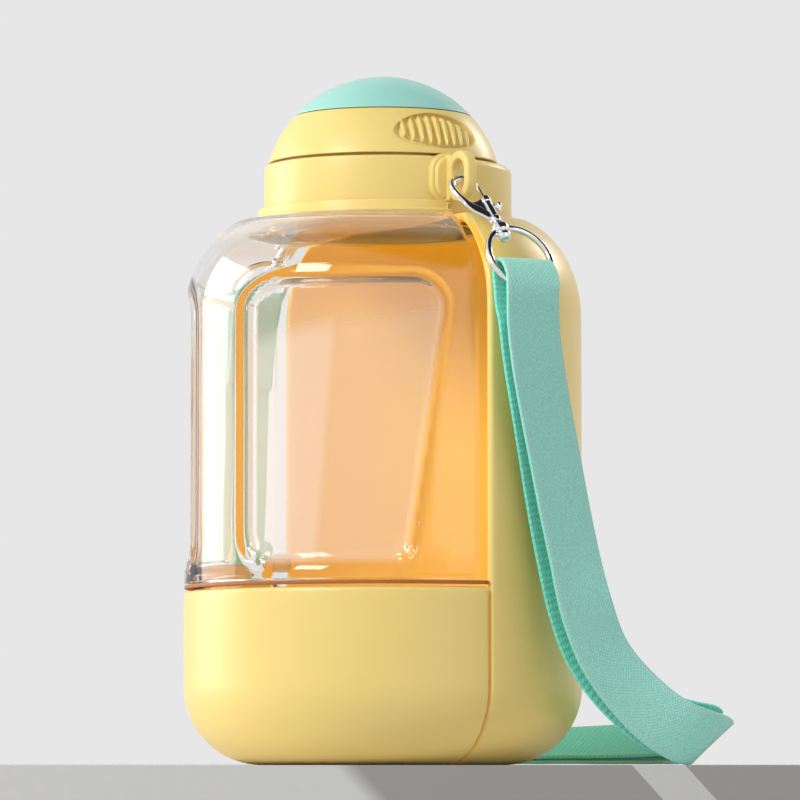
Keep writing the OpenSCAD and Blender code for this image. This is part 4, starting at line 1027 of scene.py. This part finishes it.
# World: one pale grey, at full strength for what the camera sees, mirrors and clear plastic, and softer as light. For
# mirrors it turns dark in a cone round one direction, which is what the steel shows.
def studioWorld():
    world = bpy.data.worlds.new("studio")
    bpy.context.scene.world = world
    world.use_nodes = True
    tree = world.node_tree
    grey, soft = (stage["backdrop"],) * 3, tree.nodes["Background"]
    path = addNode(tree, "LightPath").outputs
    toward = {0: addNode(tree, "TexCoord").outputs["Generated"], 1: stage["darkSide"]}
    toward = addNode(tree, "VectorMath", toward, operation="DOT_PRODUCT").outputs["Value"]
    dark = ramp(tree, toward, stage["darkFrom"], stage["darkFull"], 0.0, stage["darkness"], "SMOOTHSTEP")
    dark = calc(tree, "MULTIPLY", dark, path["Is Glossy Ray"])
    seen = addNode(tree, "Background", {"Color": grey, "Strength": calc(tree, "SUBTRACT", 1.0, dark)})
    feed(tree, soft, {"Color": grey, "Strength": stage["surround"]})
    direct = calc(tree, "MAXIMUM", path["Is Camera Ray"], path["Is Transmission Ray"])
    direct = calc(tree, "MAXIMUM", direct, path["Is Glossy Ray"])
    mix = addNode(tree, "MixShader", {0: direct, 1: soft.outputs[0], 2: seen.outputs[0]})
    tree.links.new(mix.outputs[0], tree.nodes["World Output"].inputs["Surface"])


studioWorld()


def turnTo(thing, place, aim):
    thing.location = place
    thing.rotation_euler = (Vector(aim) - Vector(place)).to_track_quat("-Z", "Y").to_euler()


# Each lamp's place is given to the right, in depth and up, in metres; then how high it aims, its size, power and
# colour.
lamps = {"keyLight": (-1.0, -1.0, 0.9, 0.1, 0.5, 16.5, (1.0, 0.985, 0.96)),
         "leftBox": (-1.0, 0.35, 0.35, 0.1, 0.7, 5, (1, 1, 1)),
         "fillLight": (0.9, -0.9, 0.5, 0.1, 0.8, 1.4, (1, 1, 1)),
         "rimLight": (0.9, 0.9, 0.8, 0.12, 0.4, 4, (1.0, 0.97, 0.92))}
for name, (toRight, deep, up, aim, size, power, colour) in lamps.items():
    lamp = bpy.data.lights.new(name, "AREA")
    lamp.shape, lamp.size, lamp.energy, lamp.color = "SQUARE", size, power, colour
    thing = bpy.data.objects.new(name, lamp)
    bpy.context.scene.collection.objects.link(thing)
    turnTo(thing, right * toRight + depth * deep + np.array([0, 0, up]), (0, 0, aim))

# Camera: level with the foot and far away, aimed so that the bottle's axis and the ground fall on their pixels.
camera = bpy.data.objects.new("camera", bpy.data.cameras.new("camera"))
bpy.context.scene.collection.objects.link(camera)
bpy.context.scene.camera = camera
middle = look["pixels"] / 2
camera.data.lens = look["distance"] * look["pixelsPerMm"] / look["pixels"] * look["sensor"]
camera.data.sensor_width = look["sensor"]
aimRight = (middle - look["axisX"]) / look["pixelsPerMm"]
aimUp = (look["groundY"] - middle) / look["pixelsPerMm"]
turnTo(camera, -depth * look["distance"] * mm + np.array([0, 0, look["height"] * mm]),
       right * aimRight * mm + np.array([0, 0, aimUp * mm]))
camera.data.clip_start, camera.data.clip_end = 0.05, 20
print("stage: camera done")
